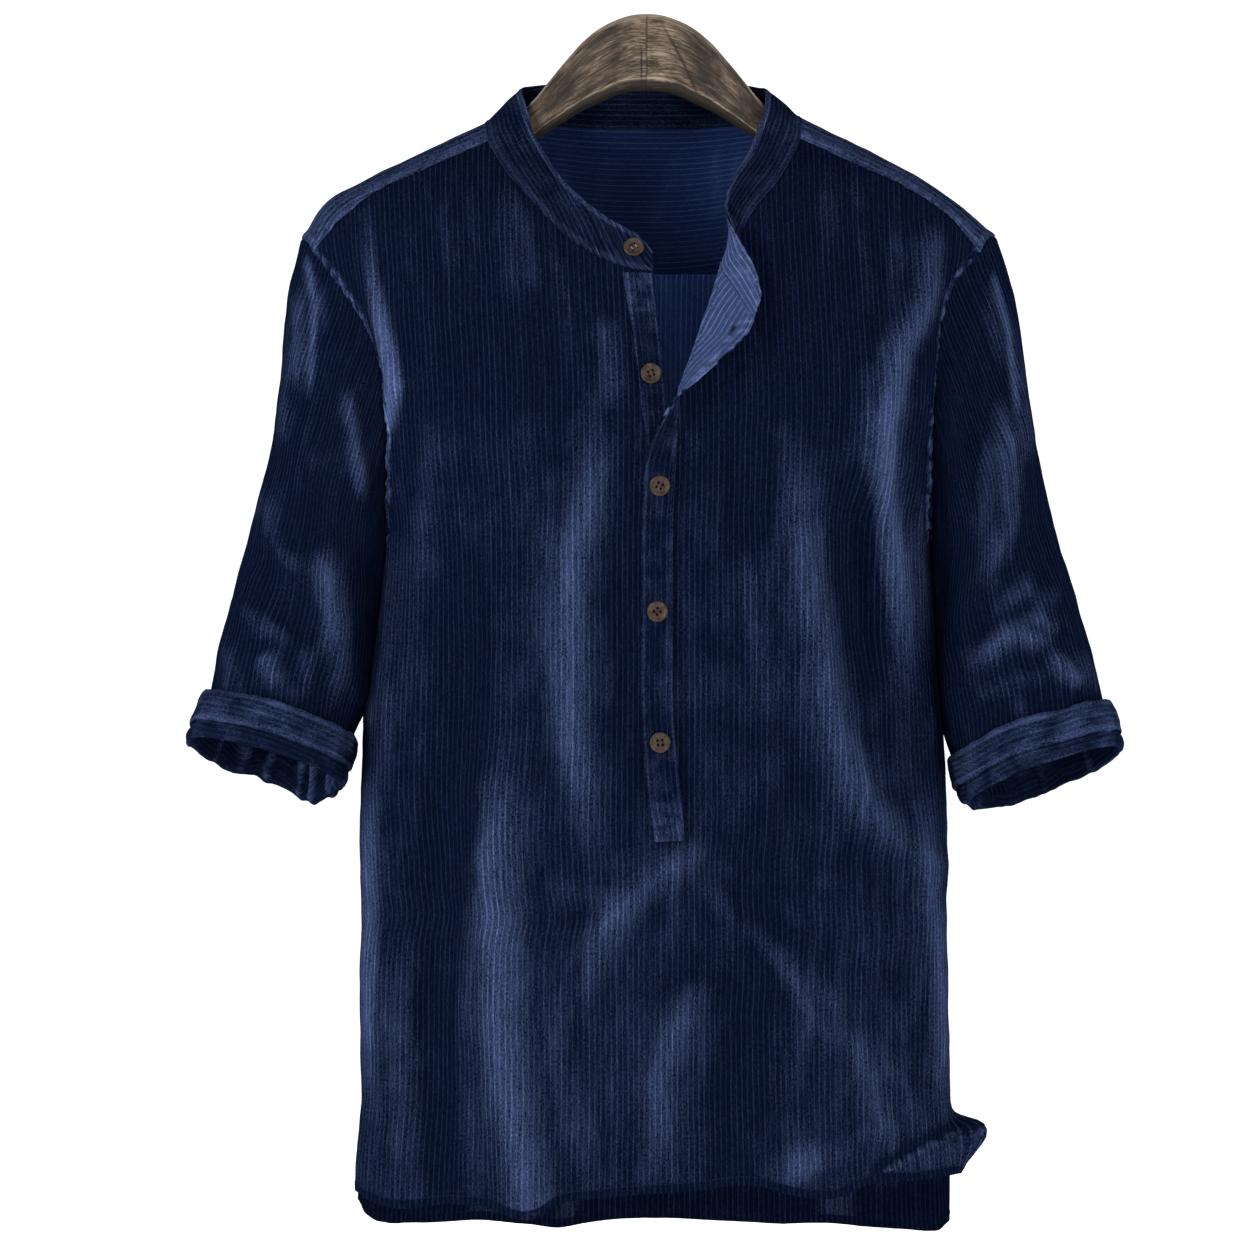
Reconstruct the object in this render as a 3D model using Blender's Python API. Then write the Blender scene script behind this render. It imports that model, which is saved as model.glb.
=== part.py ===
"""Henley shirt with a band collar and rolled sleeves, hung on a wooden hanger.

The tables are in millimetres. X runs to the viewer's right, Y away from the viewer, Z up,
and the origin is the hole for the hook at the top of the hanger.
Every cloth piece is a wall laid on both sides of a surface, and the surfaces come from
horizontal sections of the body, rings of the sleeves and a short list of folds.
"""
import math
from collections import namedtuple

import bmesh
import bpy
import numpy as np
from mathutils import Matrix, Vector
from mathutils.bvhtree import BVHTree

MM = 0.001
CLOTH_WALL = 1.6
STRIP_WALL = 1.2
SEAM_GAP = 0.3
UNDER_LIFT = 2.0        # middle of the under placket above the middle of the front
OVER_LIFT = 4.0         # middle of the over placket above the middle of the front
ARMPIT_HEIGHT = -335.0
VENT_HEIGHT = -700.0    # the side seams end here
BAND_ROWS = 4
PLACKET_COLUMNS = 4

NAVY = (0.010, 0.017, 0.050)
NAVY_LIGHT = (0.045, 0.068, 0.150)
HORN = (0.110, 0.075, 0.055)
OLD_WOOD = (0.120, 0.092, 0.072)

# ---------------------------------------------------------------- the body's sections
Section = namedtuple("Section", "height centre left right edge_y middle_y wrap_left wrap_right")
FRONT_SECTIONS = [
    Section(-70, 3, -240, 240, 38, -10, 60, 60),
    Section(-84, 3, -235, 236, 25, -25, 60, 60),
    Section(-101, 3, -230, 232, 12, -43, 60, 60),
    Section(-125, 3, -222, 224, 0, -60, 62, 62),
    Section(-152, 4, -212, 212, -10, -70, 66, 66),
    Section(-177, 5, -193, 193, -20, -77, 74, 82),
    Section(-202, 6, -177, 185, -27, -81, 84, 90),
    Section(-228, 7, -166, 181, -31, -84, 90, 96),
    Section(-260, 8, -163, 180, -28, -86, 90, 92),
    Section(-300, 8, -165, 180, -16, -86, 90, 91),
    Section(-335, 7, -168, 182, 0, -85, 88, 89),
    Section(-400, 7, -173, 185, 0, -82, 90, 90),
    Section(-450, 7, -179, 188, 0, -80, 94, 94),
    Section(-503, 7, -180, 189, 0, -78, 98, 98),
    Section(-567, 7, -180, 189, 0, -74, 98, 98),
    Section(-631, 7, -181, 190, 0, -70, 98, 98),
    Section(-700, 7, -181, 192, 0, -67, 97, 97),
    Section(-733, 7, -184, 194, -6, -65, 95, 95),
    Section(-790, 7, -184, 194, -9, -64, 95, 95),
]
BACK_SECTIONS = [
    Section(-150, 1, -212, 214, 8, 61, 66, 66),
    Section(-164, 1, -209, 211, 13, 62, 66, 66),
    Section(-200, 1, -196, 199, 26, 68, 72, 72),
    Section(-230, 2, -186, 192, 33, 71, 80, 80),
    Section(-270, 3, -177, 186, 31, 74, 88, 88),
    Section(-310, 5, -170, 183, 17, 75, 90, 90),
    Section(-335, 6, -168, 182, 0, 75, 90, 90),
    Section(-400, 6, -173, 185, 0, 74, 88, 88),
    Section(-450, 6, -179, 188, 0, 72, 88, 88),
    Section(-503, 6, -180, 189, 0, 70, 88, 88),
    Section(-567, 6, -180, 189, 0, 66, 88, 88),
    Section(-631, 6, -181, 190, 0, 62, 88, 88),
    Section(-700, 6, -181, 192, 0, 60, 88, 88),
    Section(-733, 6, -184, 194, 6, 58, 88, 88),
    Section(-790, 6, -184, 194, 9, 57, 88, 88),
]

# ---------------------------------------------------------------- the yoke over the shoulders
# One row for each station from the neck to the armhole: the yoke's front seam, the crest of
# the shoulder and the seam with the back.
Shoulder = namedtuple("Shoulder", "seam_x seam_z crest_x crest_y crest_z back_x back_z")
LEFT_SHOULDER = [
    Shoulder(-100, -82, -102, -2, -70, -92, -162),
    Shoulder(-140, -101, -148, 0, -91, -130, -163),
    Shoulder(-174, -117, -179, 1, -106, -165, -164),
    Shoulder(-204, -142, -206, 1, -122, -196, -165),
    Shoulder(-212, -152, -220, 1, -144, -209, -167),
]
RIGHT_SHOULDER = [
    Shoulder(97, -80, 98, -2, -67, 90, -162),
    Shoulder(128, -96, 128, 0, -81, 128, -163),
    Shoulder(162, -112, 160, 1, -97, 163, -164),
    Shoulder(192, -131, 196, 1, -119, 194, -165),
    Shoulder(212, -152, 223, 1, -142, 210, -167),
]
FRONT_ARC = math.radians(58)      # how far the front of the yoke rolls over from the crest
# Back neckline between the two shoulder crests.
NeckPoint = namedtuple("NeckPoint", "x y z roll")
BACK_NECK = [
    NeckPoint(-102, -2, -70, 0),
    NeckPoint(-97, 16, -68, 14),
    NeckPoint(-82, 33, -67, 30),
    NeckPoint(-58, 46, -67, 45),
    NeckPoint(-30, 53, -68, 56),
    NeckPoint(-2, 55, -68, 60),
    NeckPoint(28, 53, -68, 56),
    NeckPoint(55, 46, -67, 45),
    NeckPoint(79, 33, -66, 30),
    NeckPoint(93, 16, -66, 14),
    NeckPoint(98, -2, -67, 0),
]

# ---------------------------------------------------------------- top line of the front
Station = namedtuple("Station", "x z")
LEFT_NECKLINE = [
    Station(-100, -82), Station(-94, -94), Station(-85, -109), Station(-70, -126),
    Station(-55.5, -142), Station(-38, -155.5), Station(-18, -165.5), Station(-6, -169),
    Station(4, -170),
]
FOLD_LINE = [
    Station(11, -262), Station(17.5, -246), Station(26.3, -226), Station(33.3, -205),
    Station(40, -184.5), Station(45, -169),
]
RIGHT_NECKLINE = [
    Station(45, -169), Station(56, -151), Station(62.8, -135.4), Station(70, -124.6),
    Station(80.5, -112), Station(91, -94), Station(97, -80),
]
SHOULDER_STEPS = 7
LEFT_NECK_STEPS = 9
OPENING_STEPS = 4
FOLD_LINE_STEPS = 5
RIGHT_NECK_STEPS = 6
YOKE_FRONT_STEPS = 3
YOKE_BACK_STEPS = 4
BACK_NECK_STEPS = 12
ABOVE_ARMPIT_STEPS = 9
BELOW_ARMPIT_STEPS = 11
HEM_STEPS = 3

FRONT_HEM = [
    Station(-190, -744), Station(-178, -754), Station(-163, -759), Station(-130, -756.5),
    Station(-104, -756), Station(-70, -762), Station(-56, -754), Station(-33, -750.5),
    Station(-1, -747.5), Station(32, -745.5), Station(76, -744), Station(90, -748),
    Station(106, -751), Station(121, -751), Station(133, -746), Station(145, -742),
    Station(168, -742), Station(195, -740),
]
BACK_HEM = [
    Station(-190, -771), Station(-150, -777), Station(-75, -779), Station(-55, -783),
    Station(-38, -779), Station(70, -778), Station(168, -781), Station(195, -778),
]
# The lower right corner of the front is curled outwards at the vent.
Flare = namedtuple("Flare", "start_t top_z bottom_z out forward up")
CORNER_FLARE = Flare(0.80, -690, -742, 23, -10, 24)

# ---------------------------------------------------------------- folds
# A fold follows its path of (x, z) as seen from the front. Height is how far it stands out,
# start and end the share of the height at the path's ends.
Fold = namedtuple("Fold", "path half_width height start end")
FRONT_FOLDS = [
    Fold([(-172, -148), (-162, -190), (-151, -235), (-148, -275), (-154, -340), (-160, -410)],
         13, 7, 0.1, 0.0),
    Fold([(-94, -100), (-89, -140), (-80, -200)], 11, 5, 0.1, 0.0),
    Fold([(-32, -190), (-21, -262)], 11, 4, 0.0, 0.0),
    Fold([(-36, -245), (-36, -296), (-48, -345), (-52, -398), (-51, -445), (-42, -508),
          (-30, -540)], 13, 10, 0.1, 0.1),
    Fold([(-88, -448), (-94, -495), (-97, -560), (-94, -622), (-88, -685), (-75, -762)],
         16, 13, 0.0, 0.9),
    Fold([(12, -525), (22, -532), (2, -550), (-22, -575), (-28, -600)], 11, 8, 0.1, 0.1),
    Fold([(34, -606), (15, -642), (3, -674), (6, -730)], 15, 7, 0.0, 0.3),
    Fold([(90, -235), (90, -298), (103, -372), (115, -448), (134, -510), (172, -560)],
         15, 12, 0.0, 0.1),
    Fold([(150, -205), (144, -260), (158, -310), (152, -360), (162, -425)], 13, 9, 0.1, 0.0),
    Fold([(115, -636), (134, -686), (146, -724)], 18, 9, 0.0, 0.3),
    Fold([(84, -744), (115, -698)], 15, 6, 0.8, 0.0),
    Fold([(-17, -300), (-16, -400), (-17, -500)], 9, -4, 0.2, 0.2),
    Fold([(36, -250), (60, -280), (64, -350)], 13, -6, 0.2, 0.0),
    Fold([(128, -280), (133, -360), (140, -440)], 12, -8, 0.0, 0.0),
    Fold([(-120, -300), (-118, -400), (-128, -500), (-135, -640), (-130, -755)],
         18, -8, 0.0, 0.7),
    Fold([(60, -480), (64, -600), (50, -745)], 20, -7, 0.0, 0.6),
]
BACK_FOLDS = [
    Fold([(-16, -170), (-17, -260), (-24, -420)], 11, 6, 0.0, 0.0),
    Fold([(16, -170), (17, -260), (26, -420)], 11, 6, 0.0, 0.0),
    Fold([(-120, -230), (-112, -360), (-120, -520), (-105, -640), (-108, -778)],
         18, 11, 0.0, 0.8),
    Fold([(118, -240), (108, -380), (124, -520), (112, -660), (118, -780)], 18, 11, 0.0, 0.8),
    Fold([(-55, -420), (-48, -560), (-55, -783)], 16, 9, 0.0, 0.8),
    Fold([(48, -400), (62, -540), (50, -700)], 16, 8, 0.0, 0.2),
    Fold([(-84, -400), (-82, -600), (-84, -778)], 14, -7, 0.0, 0.8),
    Fold([(86, -380), (90, -560), (86, -780)], 15, -8, 0.0, 0.8),
]

# ---------------------------------------------------------------- sleeves
# Rings between the outer and the inner edge, as seen from the front. Row 0 is the armhole.
Ring = namedtuple("Ring", "outer_x outer_z inner_x inner_z centre_y half_depth tilt")
LEFT_SLEEVE = [
    Ring(-220, -144, -166, -335, 12, 36, 0),
    Ring(-229, -180, -175, -350, 13, 41, 0),
    Ring(-235, -232, -176.5, -366, 16, 46, 0),
    Ring(-241, -276, -177, -380, 18, 49, 1),
    Ring(-252, -322, -178.5, -398, 14, 50, 3),
    Ring(-263, -365, -181, -417, 7, 50, 6),
    Ring(-274, -403, -184, -438, -3, 47, 10),
    Ring(-281, -434, -191, -464, -10, 45, 13),
    Ring(-287, -459, -196, -491, -17, 44, 13),
]
RIGHT_SLEEVE = [
    Ring(223, -142, 180, -335, 12, 36, 0),
    Ring(235, -180, 186.5, -350, 13, 41, 0),
    Ring(243, -226, 187.5, -366, 16, 46, 0),
    Ring(250, -271, 188, -381, 18, 49, 1),
    Ring(259.5, -318, 189.5, -400, 14, 50, 3),
    Ring(271, -362, 192, -422, 7, 50, 6),
    Ring(282.5, -403, 194, -446, -3, 47, 10),
    Ring(293, -438, 202, -477, -10, 45, 13),
    Ring(299, -461, 208, -503, -17, 44, 13),
]
SLEEVE_STEPS = 14
START_STEP = 0.3         # the sleeve's direction at the armhole is taken over this part of a ring
START_GAP_LIMIT = 3.0
ARMPIT_GAP = 3.2
BODY_CLEARANCE = 2.8     # least distance between the middles of a sleeve and of the body
ARMHOLE_FADE = 0.36      # share of the sleeve over which the armhole's shape fades out
LEFT_SLEEVE_FOLDS = [
    Fold([(-222, -172), (-219, -245)], 10, 4, 0.0, 0.0),
    Fold([(-193, -238), (-178, -320)], 10, 5, 0.0, 0.0),
    Fold([(-210, -335), (-200, -364), (-194, -420)], 10, 5, 0.0, 0.2),
    Fold([(-242, -405), (-230, -432)], 9, 4, 0.0, 0.3),
    Fold([(-255, -330), (-225, -385), (-200, -400)], 10, -4, 0.0, 0.0),
]
RIGHT_SLEEVE_FOLDS = [
    Fold([(226, -245), (230, -322), (206, -374)], 12, 5, 0.0, 0.0),
    Fold([(200, -426), (226, -402), (262, -402)], 11, 5, 0.0, 0.1),
    Fold([(250, -406), (276, -432)], 9, 4, 0.0, 0.2),
    Fold([(206, -190), (202, -300)], 10, -4, 0.0, 0.0),
    Fold([(245, -300), (250, -370)], 11, -4, 0.0, 0.0),
]

# Profile of the rolled cuff: how far it lies outside the sleeve, and its distance from the
# cuff's upper edge as a share of the cuff's height.
CuffPoint = namedtuple("CuffPoint", "out down")
CUFF_PROFILE = [
    CuffPoint(1.9, 0.0), CuffPoint(1.9, 0.45), CuffPoint(1.9, 0.92), CuffPoint(-0.8, 0.92),
    CuffPoint(-0.8, 1.0),
    CuffPoint(3.3, 1.0), CuffPoint(4.0, 0.88), CuffPoint(3.8, 0.74), CuffPoint(5.3, 0.70),
    CuffPoint(5.5, 0.10), CuffPoint(4.3, 0.0),
]
CUFF_START = 6.98        # the ring, counted from the armhole, where the cuff's upper edge lies
SLEEVE_END_SHARE = 0.89  # the sleeve ends at this share of the cuff's height

# ---------------------------------------------------------------- collar band
# From the button end at the front, round the neck, to the twist in front. Only the upper edge
# is given: the lower one is the neckline.
BandRow = namedtuple("BandRow", "seam_x seam_y seam_z top_x top_y top_z")
COLLAR_BAND = [
    BandRow(4, -72, -170, 3, -71, -158),
    BandRow(-6, -71.5, -169, -3.5, -68, -149),
    BandRow(-18, -70, -165.5, -11, -65, -144),
    BandRow(-38, -66, -155.5, -28, -59, -133.6),
    BandRow(-55.5, -60, -142, -46, -52, -118.5),
    BandRow(-70, -52, -126, -57, -42, -105),
    BandRow(-85, -41, -109, -66, -31, -90),
    BandRow(-94, -29, -94, -73, -20, -76),
    BandRow(-100, -18, -82, -76, -13, -62),
    BandRow(-102, -2, -70, -80, 3, -49),
    BandRow(-97, 16, -68, -76, 18, -46),
    BandRow(-82, 33, -67, -68, 30, -45),
    BandRow(-58, 46, -67, -50, 41, -45),
    BandRow(-30, 53, -68, -26, 47.5, -46),
    BandRow(-2, 55, -68, -2, 50, -46.5),
    BandRow(28, 53, -68, 23, 47.5, -46),
    BandRow(55, 46, -67, 47, 41, -45),
    BandRow(79, 33, -66, 64, 30, -45),
    BandRow(93, 16, -66, 72, 18, -47),
    BandRow(98, -2, -67, 76, 3, -49),
    BandRow(97, -16, -80, 75, -13, -63),
    BandRow(91, -32, -94, 70, -20, -78),
    BandRow(80.5, -43, -112, 63, -31, -95),
    BandRow(70, -50, -124.6, 55, -38, -108),
    BandRow(62.3, -56, -134.6, 50, -46, -120),
]
# The band's end beyond the twist lies turned out, in front of the front panel.
TURNED_BAND = [
    BandRow(57, -71.5, -147, 49.5, -62, -131),
    BandRow(50, -76, -158.5, 52, -75, -140),
]
TURNED_END_TOP = [(58, -82, -152), (64, -86, -163), (69, -89, -175), (71, -91, -187)]

# ---------------------------------------------------------------- plackets
# Edges of a strip as seen from the front, and how far each edge lies in front of the panel.
StripRow = namedtuple("StripRow", "fixed_x fixed_z fixed_lift free_x free_z free_lift")
UNDER_PLACKET = [
    StripRow(-15.3, -171.5, UNDER_LIFT, 3.6, -172.0, UNDER_LIFT),
    StripRow(-9.5, -210, UNDER_LIFT, 8, -210, UNDER_LIFT),
    StripRow(-5, -246, UNDER_LIFT, 11.5, -246, UNDER_LIFT),
    StripRow(0, -280, UNDER_LIFT, 13.5, -280, UNDER_LIFT),
    StripRow(1, -400, UNDER_LIFT, 14, -400, UNDER_LIFT),
    StripRow(8, -520, UNDER_LIFT, 20, -520, UNDER_LIFT),
]
OVER_PLACKET = [
    StripRow(23, -526, OVER_LIFT, 5, -526, OVER_LIFT),
    StripRow(21.5, -500, OVER_LIFT, 0.6, -500, OVER_LIFT),
    StripRow(17.5, -463, OVER_LIFT, -2.3, -463, OVER_LIFT),
    StripRow(15.5, -375, OVER_LIFT, -2.8, -375, OVER_LIFT),
    StripRow(16.5, -313, OVER_LIFT, -2.5, -313, OVER_LIFT + 0.5),
    StripRow(18, -288, OVER_LIFT, -0.5, -288, OVER_LIFT + 1.5),
    StripRow(18.5, -274, OVER_LIFT, 3.2, -276, OVER_LIFT + 4),
    StripRow(18.5, -262, OVER_LIFT + 0.4, 9, -264, OVER_LIFT + 8.5),
    StripRow(18.5, -250, OVER_LIFT + 0.8, 18, -250, OVER_LIFT + 12),
    StripRow(21, -240, OVER_LIFT + 0.8, 29, -240, OVER_LIFT + 12),
    StripRow(26.3, -226, OVER_LIFT + 0.6, 42, -230, OVER_LIFT + 11),
    StripRow(33.3, -205, OVER_LIFT + 0.4, 60, -213, OVER_LIFT + 10),
    StripRow(39.5, -187, OVER_LIFT + 0.4, 63.5, -208, OVER_LIFT + 9.5),
    StripRow(45, -169, OVER_LIFT + 0.4, 65, -203.5, OVER_LIFT + 9),
]
UNDER_STEPS = 28
OVER_STEPS = 26

# ---------------------------------------------------------------- buttons
ButtonSeat = namedtuple("ButtonSeat", "x z lift turn")
BUTTON_SEATS = [
    ButtonSeat(2.5, -235, UNDER_LIFT, 20),
    ButtonSeat(7.8, -304.5, OVER_LIFT, -25),
    ButtonSeat(6.4, -382.4, OVER_LIFT, 40),
    ButtonSeat(8.1, -464, OVER_LIFT, 5),
]
BAND_BUTTON_X = -8.5
BAND_BUTTON_TURN = 30
BUTTON_GAP = 0.5
BAND_BUTTON_SHARE = 0.55     # height on the band, as a share of its width
BUTTON_RADIUS = 6.4
BUTTON_SIDES = 20
# Radius and height above the seat, from the middle of the face to the middle of the back.
BUTTON_PROFILE = [(4.3, 1.7), (5.0, 2.3), (5.9, 2.4), (6.4, 1.8), (6.2, 0.6), (4.6, 0.0)]
BUTTON_HOLE_RADIUS = 0.85
BUTTON_HOLE_OFFSET = 1.45

# ---------------------------------------------------------------- hanger
ArmSection = namedtuple("ArmSection", "x top bottom half_depth")
HANGER_ARM = [
    ArmSection(0.15, 0.0, -49.3, 10.5),
    ArmSection(8, -0.6, -49.5, 10.5),
    ArmSection(19, -3.8, -51.8, 10.5),
    ArmSection(31, -10, -57.5, 10.5),
    ArmSection(39.5, -16.8, -61.2, 10.5),
    ArmSection(51, -29.4, -67.8, 10.5),
    ArmSection(61.5, -42, -74.5, 10.5),
    ArmSection(72, -55, -81, 9.6),
    ArmSection(84, -66, -88.5, 9),
    ArmSection(102, -75, -97, 9),
    ArmSection(128, -84, -107, 9),
    ArmSection(156, -96.8, -118.5, 9),
    ArmSection(178, -110, -130, 8),
    ArmSection(192, -121, -137, 6.5),
    ArmSection(199, -129, -139, 4),
]
ARM_SIDES = 16
ARM_SQUARENESS = 0.7        # below 1 a section is a rounded rectangle and not an ellipse
HOOK_HOLE_RADIUS = 2.2
HOOK_HOLE_DEPTH = 16

TAPER_SHARE = 0.3            # a fold rises from its end over this share of its path
EDGE_SHARE = 0.14        # folds fade out over this share of a panel's half width
SLOPE_STEP = 0.004
RAY_START_Y = -400


# ================================================================ curves and surfaces
def smooth(at, stations, values):
    """Cubic curve through the values at rising stations, held beyond its ends."""
    stations = np.asarray(stations, float)
    values = np.asarray(values, float)
    slopes = np.gradient(values, stations)
    at = np.clip(at, stations[0], stations[-1])
    i = np.clip(np.searchsorted(stations, at, side="right") - 1, 0, len(stations) - 2)
    span = stations[i + 1] - stations[i]
    s = (at - stations[i]) / span
    start = values[i] * (1 + 2 * s) * (1 - s) ** 2 + slopes[i] * span * s * (1 - s) ** 2
    end = values[i + 1] * s * s * (3 - 2 * s) + slopes[i + 1] * span * s * s * (s - 1)
    return start + end


def ease(value, low, high):
    """Rise from 0 at low to 1 at high with level ends."""
    s = np.clip((np.asarray(value, float) - low) / (high - low), 0, 1)
    return s * s * (3 - 2 * s)


def unit(vectors):
    """Vectors scaled to length 1."""
    length = np.linalg.norm(vectors, axis=-1, keepdims=True)
    return vectors / np.maximum(length, 1e-9)


def along(points, steps):
    """A number of evenly spread points on the smooth curve through a few points."""
    points = np.asarray(points, float)
    lengths = np.r_[0, np.cumsum(np.linalg.norm(np.diff(points, axis=0), axis=1))]
    at = np.linspace(0, lengths[-1], steps + 1)
    return np.stack([smooth(at, lengths, points[:, k]) for k in range(points.shape[1])], -1)


def section_point(sections, t, z):
    """Point of a panel at t, from -1 at its left to 1 at its right edge, and height z."""
    rows = sorted(sections)
    heights = [row.height for row in rows]

    def read(name):
        return smooth(z, heights, [getattr(row, name) for row in rows])

    centre = read("centre")
    wrap = np.radians(np.where(t < 0, read("wrap_left"), read("wrap_right")))
    half = np.where(t < 0, centre - read("left"), read("right") - centre)
    edge_y, middle_y = read("edge_y"), read("middle_y")
    x = centre + half * np.sin(t * wrap) / np.sin(wrap)
    y = middle_y + (edge_y - middle_y) * (1 - np.cos(t * wrap)) / (1 - np.cos(wrap))
    return np.stack([x, y, z + 0 * x], -1)


def place_across(sections, x, z):
    """The t of a panel's point that is seen at x and z from the front."""
    low, high = np.full_like(x, -1.0), np.full_like(x, 1.0)
    for _ in range(40):
        middle = (low + high) / 2
        left_of = section_point(sections, middle, z)[..., 0] < x
        low, high = np.where(left_of, middle, low), np.where(left_of, high, middle)
    return (low + high) / 2


def fold_height(folds, x, z):
    """Sum of the folds at points seen at x and z from the front."""
    total = np.zeros_like(x)
    for fold in folds:
        path = np.asarray(fold.path, float)
        steps = np.linalg.norm(np.diff(path, axis=0), axis=1)
        starts = np.r_[0, np.cumsum(steps)]
        nearest = np.full_like(x, 1e9)
        share = np.zeros_like(x)
        for k, step in enumerate(steps):
            direction = (path[k + 1] - path[k]) / step
            run = (x - path[k, 0]) * direction[0] + (z - path[k, 1]) * direction[1]
            run = np.clip(run, 0, step)
            distance = np.hypot(x - path[k, 0] - run * direction[0],
                                z - path[k, 1] - run * direction[1])
            closer = distance < nearest
            nearest = np.where(closer, distance, nearest)
            share = np.where(closer, (starts[k] + run) / starts[-1], share)
        taper = (fold.start + (1 - fold.start) * ease(share, 0, TAPER_SHARE))
        taper = taper * (fold.end + (1 - fold.end) * ease(1 - share, 0, TAPER_SHARE))
        total += fold.height * taper * np.exp(-(nearest / fold.half_width) ** 2)
    return total


def panel_surface(sections, folds, outward, t, z):
    """Point and outward normal of the front or the back, with its folds."""
    t, z = np.broadcast_arrays(np.asarray(t, float), np.asarray(z, float))

    def draped(t, z):
        point = section_point(sections, t, z)
        across = section_point(sections, t + SLOPE_STEP, z) - section_point(
            sections, t - SLOPE_STEP, z)
        up = section_point(sections, t, z + 1) - section_point(sections, t, z - 1)
        normal = unit(np.cross(across, up)) * outward
        height = fold_height(folds, point[..., 0], z) * ease(1 - np.abs(t), 0, EDGE_SHARE)
        return point + normal * height[..., None]

    point = draped(t, z)
    across = draped(t + SLOPE_STEP, z) - draped(t - SLOPE_STEP, z)
    up = draped(t, z + 1) - draped(t, z - 1)
    return point, unit(np.cross(across, up)) * outward


def on_front(front, x, z, lift):
    """Point in front of the front panel, as seen at x and z, and the panel's normal there.

    Over the panel's own faces the point starts from them, and beyond its edge from the
    smooth surface, so that what lies on the panel keeps the same distance everywhere.
    """
    x, z, lift = np.broadcast_arrays(*(np.asarray(v, float) for v in (x, z, lift)))
    t = place_across(FRONT_SECTIONS, x, z)
    point, normal = panel_surface(FRONT_SECTIONS, FRONT_FOLDS, 1, t, z)
    faces = BVHTree.FromPolygons(front.flat.tolist(), front.triangles())
    for place in np.ndindex(x.shape):
        hit, _, _, _ = faces.ray_cast((x[place], RAY_START_Y, z[place]), (0, 1, 0))
        if hit is not None and hit.y < 0:
            point[place] = hit
    return point + normal * lift[..., None], normal


# ================================================================ sheets of cloth
class Sheet:
    """A grid of points for one cloth piece, some of its cells, and its outward normals."""

    def __init__(self, name, points, cells=None, closed=False, flip=False, wall=CLOTH_WALL):
        self.name, self.points, self.closed = name, np.array(points, float), closed
        self.wall = wall
        rows, columns = self.points.shape[:2]
        if cells is None:
            cells = np.ones((rows - 1, columns if closed else columns - 1), bool)
        index = np.arange(rows * columns).reshape(rows, columns)
        self.faces = []
        for i, j in zip(*np.nonzero(cells)):
            k = (j + 1) % columns
            face = [index[i, j], index[i, k], index[i + 1, k], index[i + 1, j]]
            self.faces.append(face[::-1] if flip else face)
        self.faces = np.array(self.faces)
        self.flat = self.points.reshape(-1, 3)
        self.used = np.unique(self.faces)
        corners = self.flat[self.faces]
        face_normals = np.cross(corners[:, 2] - corners[:, 0], corners[:, 3] - corners[:, 1])
        self.normals = np.zeros_like(self.flat)
        for k in range(4):
            np.add.at(self.normals, self.faces[:, k], face_normals)
        self.normals = unit(self.normals)

    def boundary(self):
        """Edges that only one face uses, in that face's direction."""
        edges = {(int(f[k]), int(f[(k + 1) % 4])) for f in self.faces for k in range(4)}
        return sorted((a, b) for a, b in edges if (b, a) not in edges)

    def trim(self, amount):
        """Pull the free edges back into the sheet."""
        inward = {}
        for a, b in self.boundary():
            direction = unit(self.flat[b] - self.flat[a])
            for end in (a, b):
                side = unit(np.cross(self.normals[end], direction))
                inward.setdefault(end, []).append(side)
        for end, sides in inward.items():
            total = np.sum(sides, axis=0)
            spread = 1 + float(np.dot(sides[0], sides[-1])) if len(sides) > 1 else 1
            self.flat[end] = self.flat[end] + total / max(spread, 0.6) * amount

    def triangles(self):
        """The faces, each split along its shorter diagonal."""
        corners = self.flat[self.faces]
        first = np.linalg.norm(corners[:, 0] - corners[:, 2], axis=1)
        second = np.linalg.norm(corners[:, 1] - corners[:, 3], axis=1)
        turned = np.where((first <= second)[:, None], self.faces, np.roll(self.faces, -1, axis=1))
        return np.concatenate([turned[:, (0, 1, 2)], turned[:, (0, 2, 3)]]).tolist()

    def build(self, material):
        """Make the closed wall and return its object."""
        number = {int(v): k for k, v in enumerate(self.used)}
        count = len(self.used)
        offset = self.normals[self.used] * self.wall / 2
        outer = self.flat[self.used] + offset
        inner = self.flat[self.used] - offset
        faces = [[number[int(v)] for v in face] for face in self.triangles()]
        inside = [[v + count for v in face[::-1]] for face in faces]
        rim = [[number[b], number[a], number[a] + count, number[b] + count]
               for a, b in self.boundary()]
        return solid(self.name, np.concatenate([outer, inner]), faces + inside + rim, material)


def share_normals(sheets):
    """Give points that several sheets have in common one normal, so that walls meet."""
    groups = {}
    for sheet in sheets:
        for v in sheet.used:
            groups.setdefault(tuple(np.round(sheet.flat[v], 2)), []).append((sheet, v))
    for members in groups.values():
        if len(members) > 1:
            mean = unit(sum(sheet.normals[v] for sheet, v in members))
            for sheet, v in members:
                sheet.normals[v] = mean


def solid(name, points, faces, material):
    """An object from points in millimetres and faces."""
    mesh = bpy.data.meshes.new(name)
    mesh.from_pydata((np.asarray(points) * MM).tolist(), [], faces)
    mesh.validate()
    mesh.shade_smooth()
    mesh.set_sharp_from_angle(angle=math.radians(50))
    mesh.materials.append(material)
    thing = bpy.data.objects.new(name, mesh)
    bpy.context.scene.collection.objects.link(thing)
    return thing


def finish_of(name, colour, roughness, metallic=0.0):
    """A material with a plain colour."""
    material = bpy.data.materials.new(name)
    material.use_nodes = True
    shader = material.node_tree.nodes["Principled BSDF"]
    shader.inputs["Base Color"].default_value = (*colour, 1.0)
    shader.inputs["Roughness"].default_value = roughness
    shader.inputs["Metallic"].default_value = metallic
    return material


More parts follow.
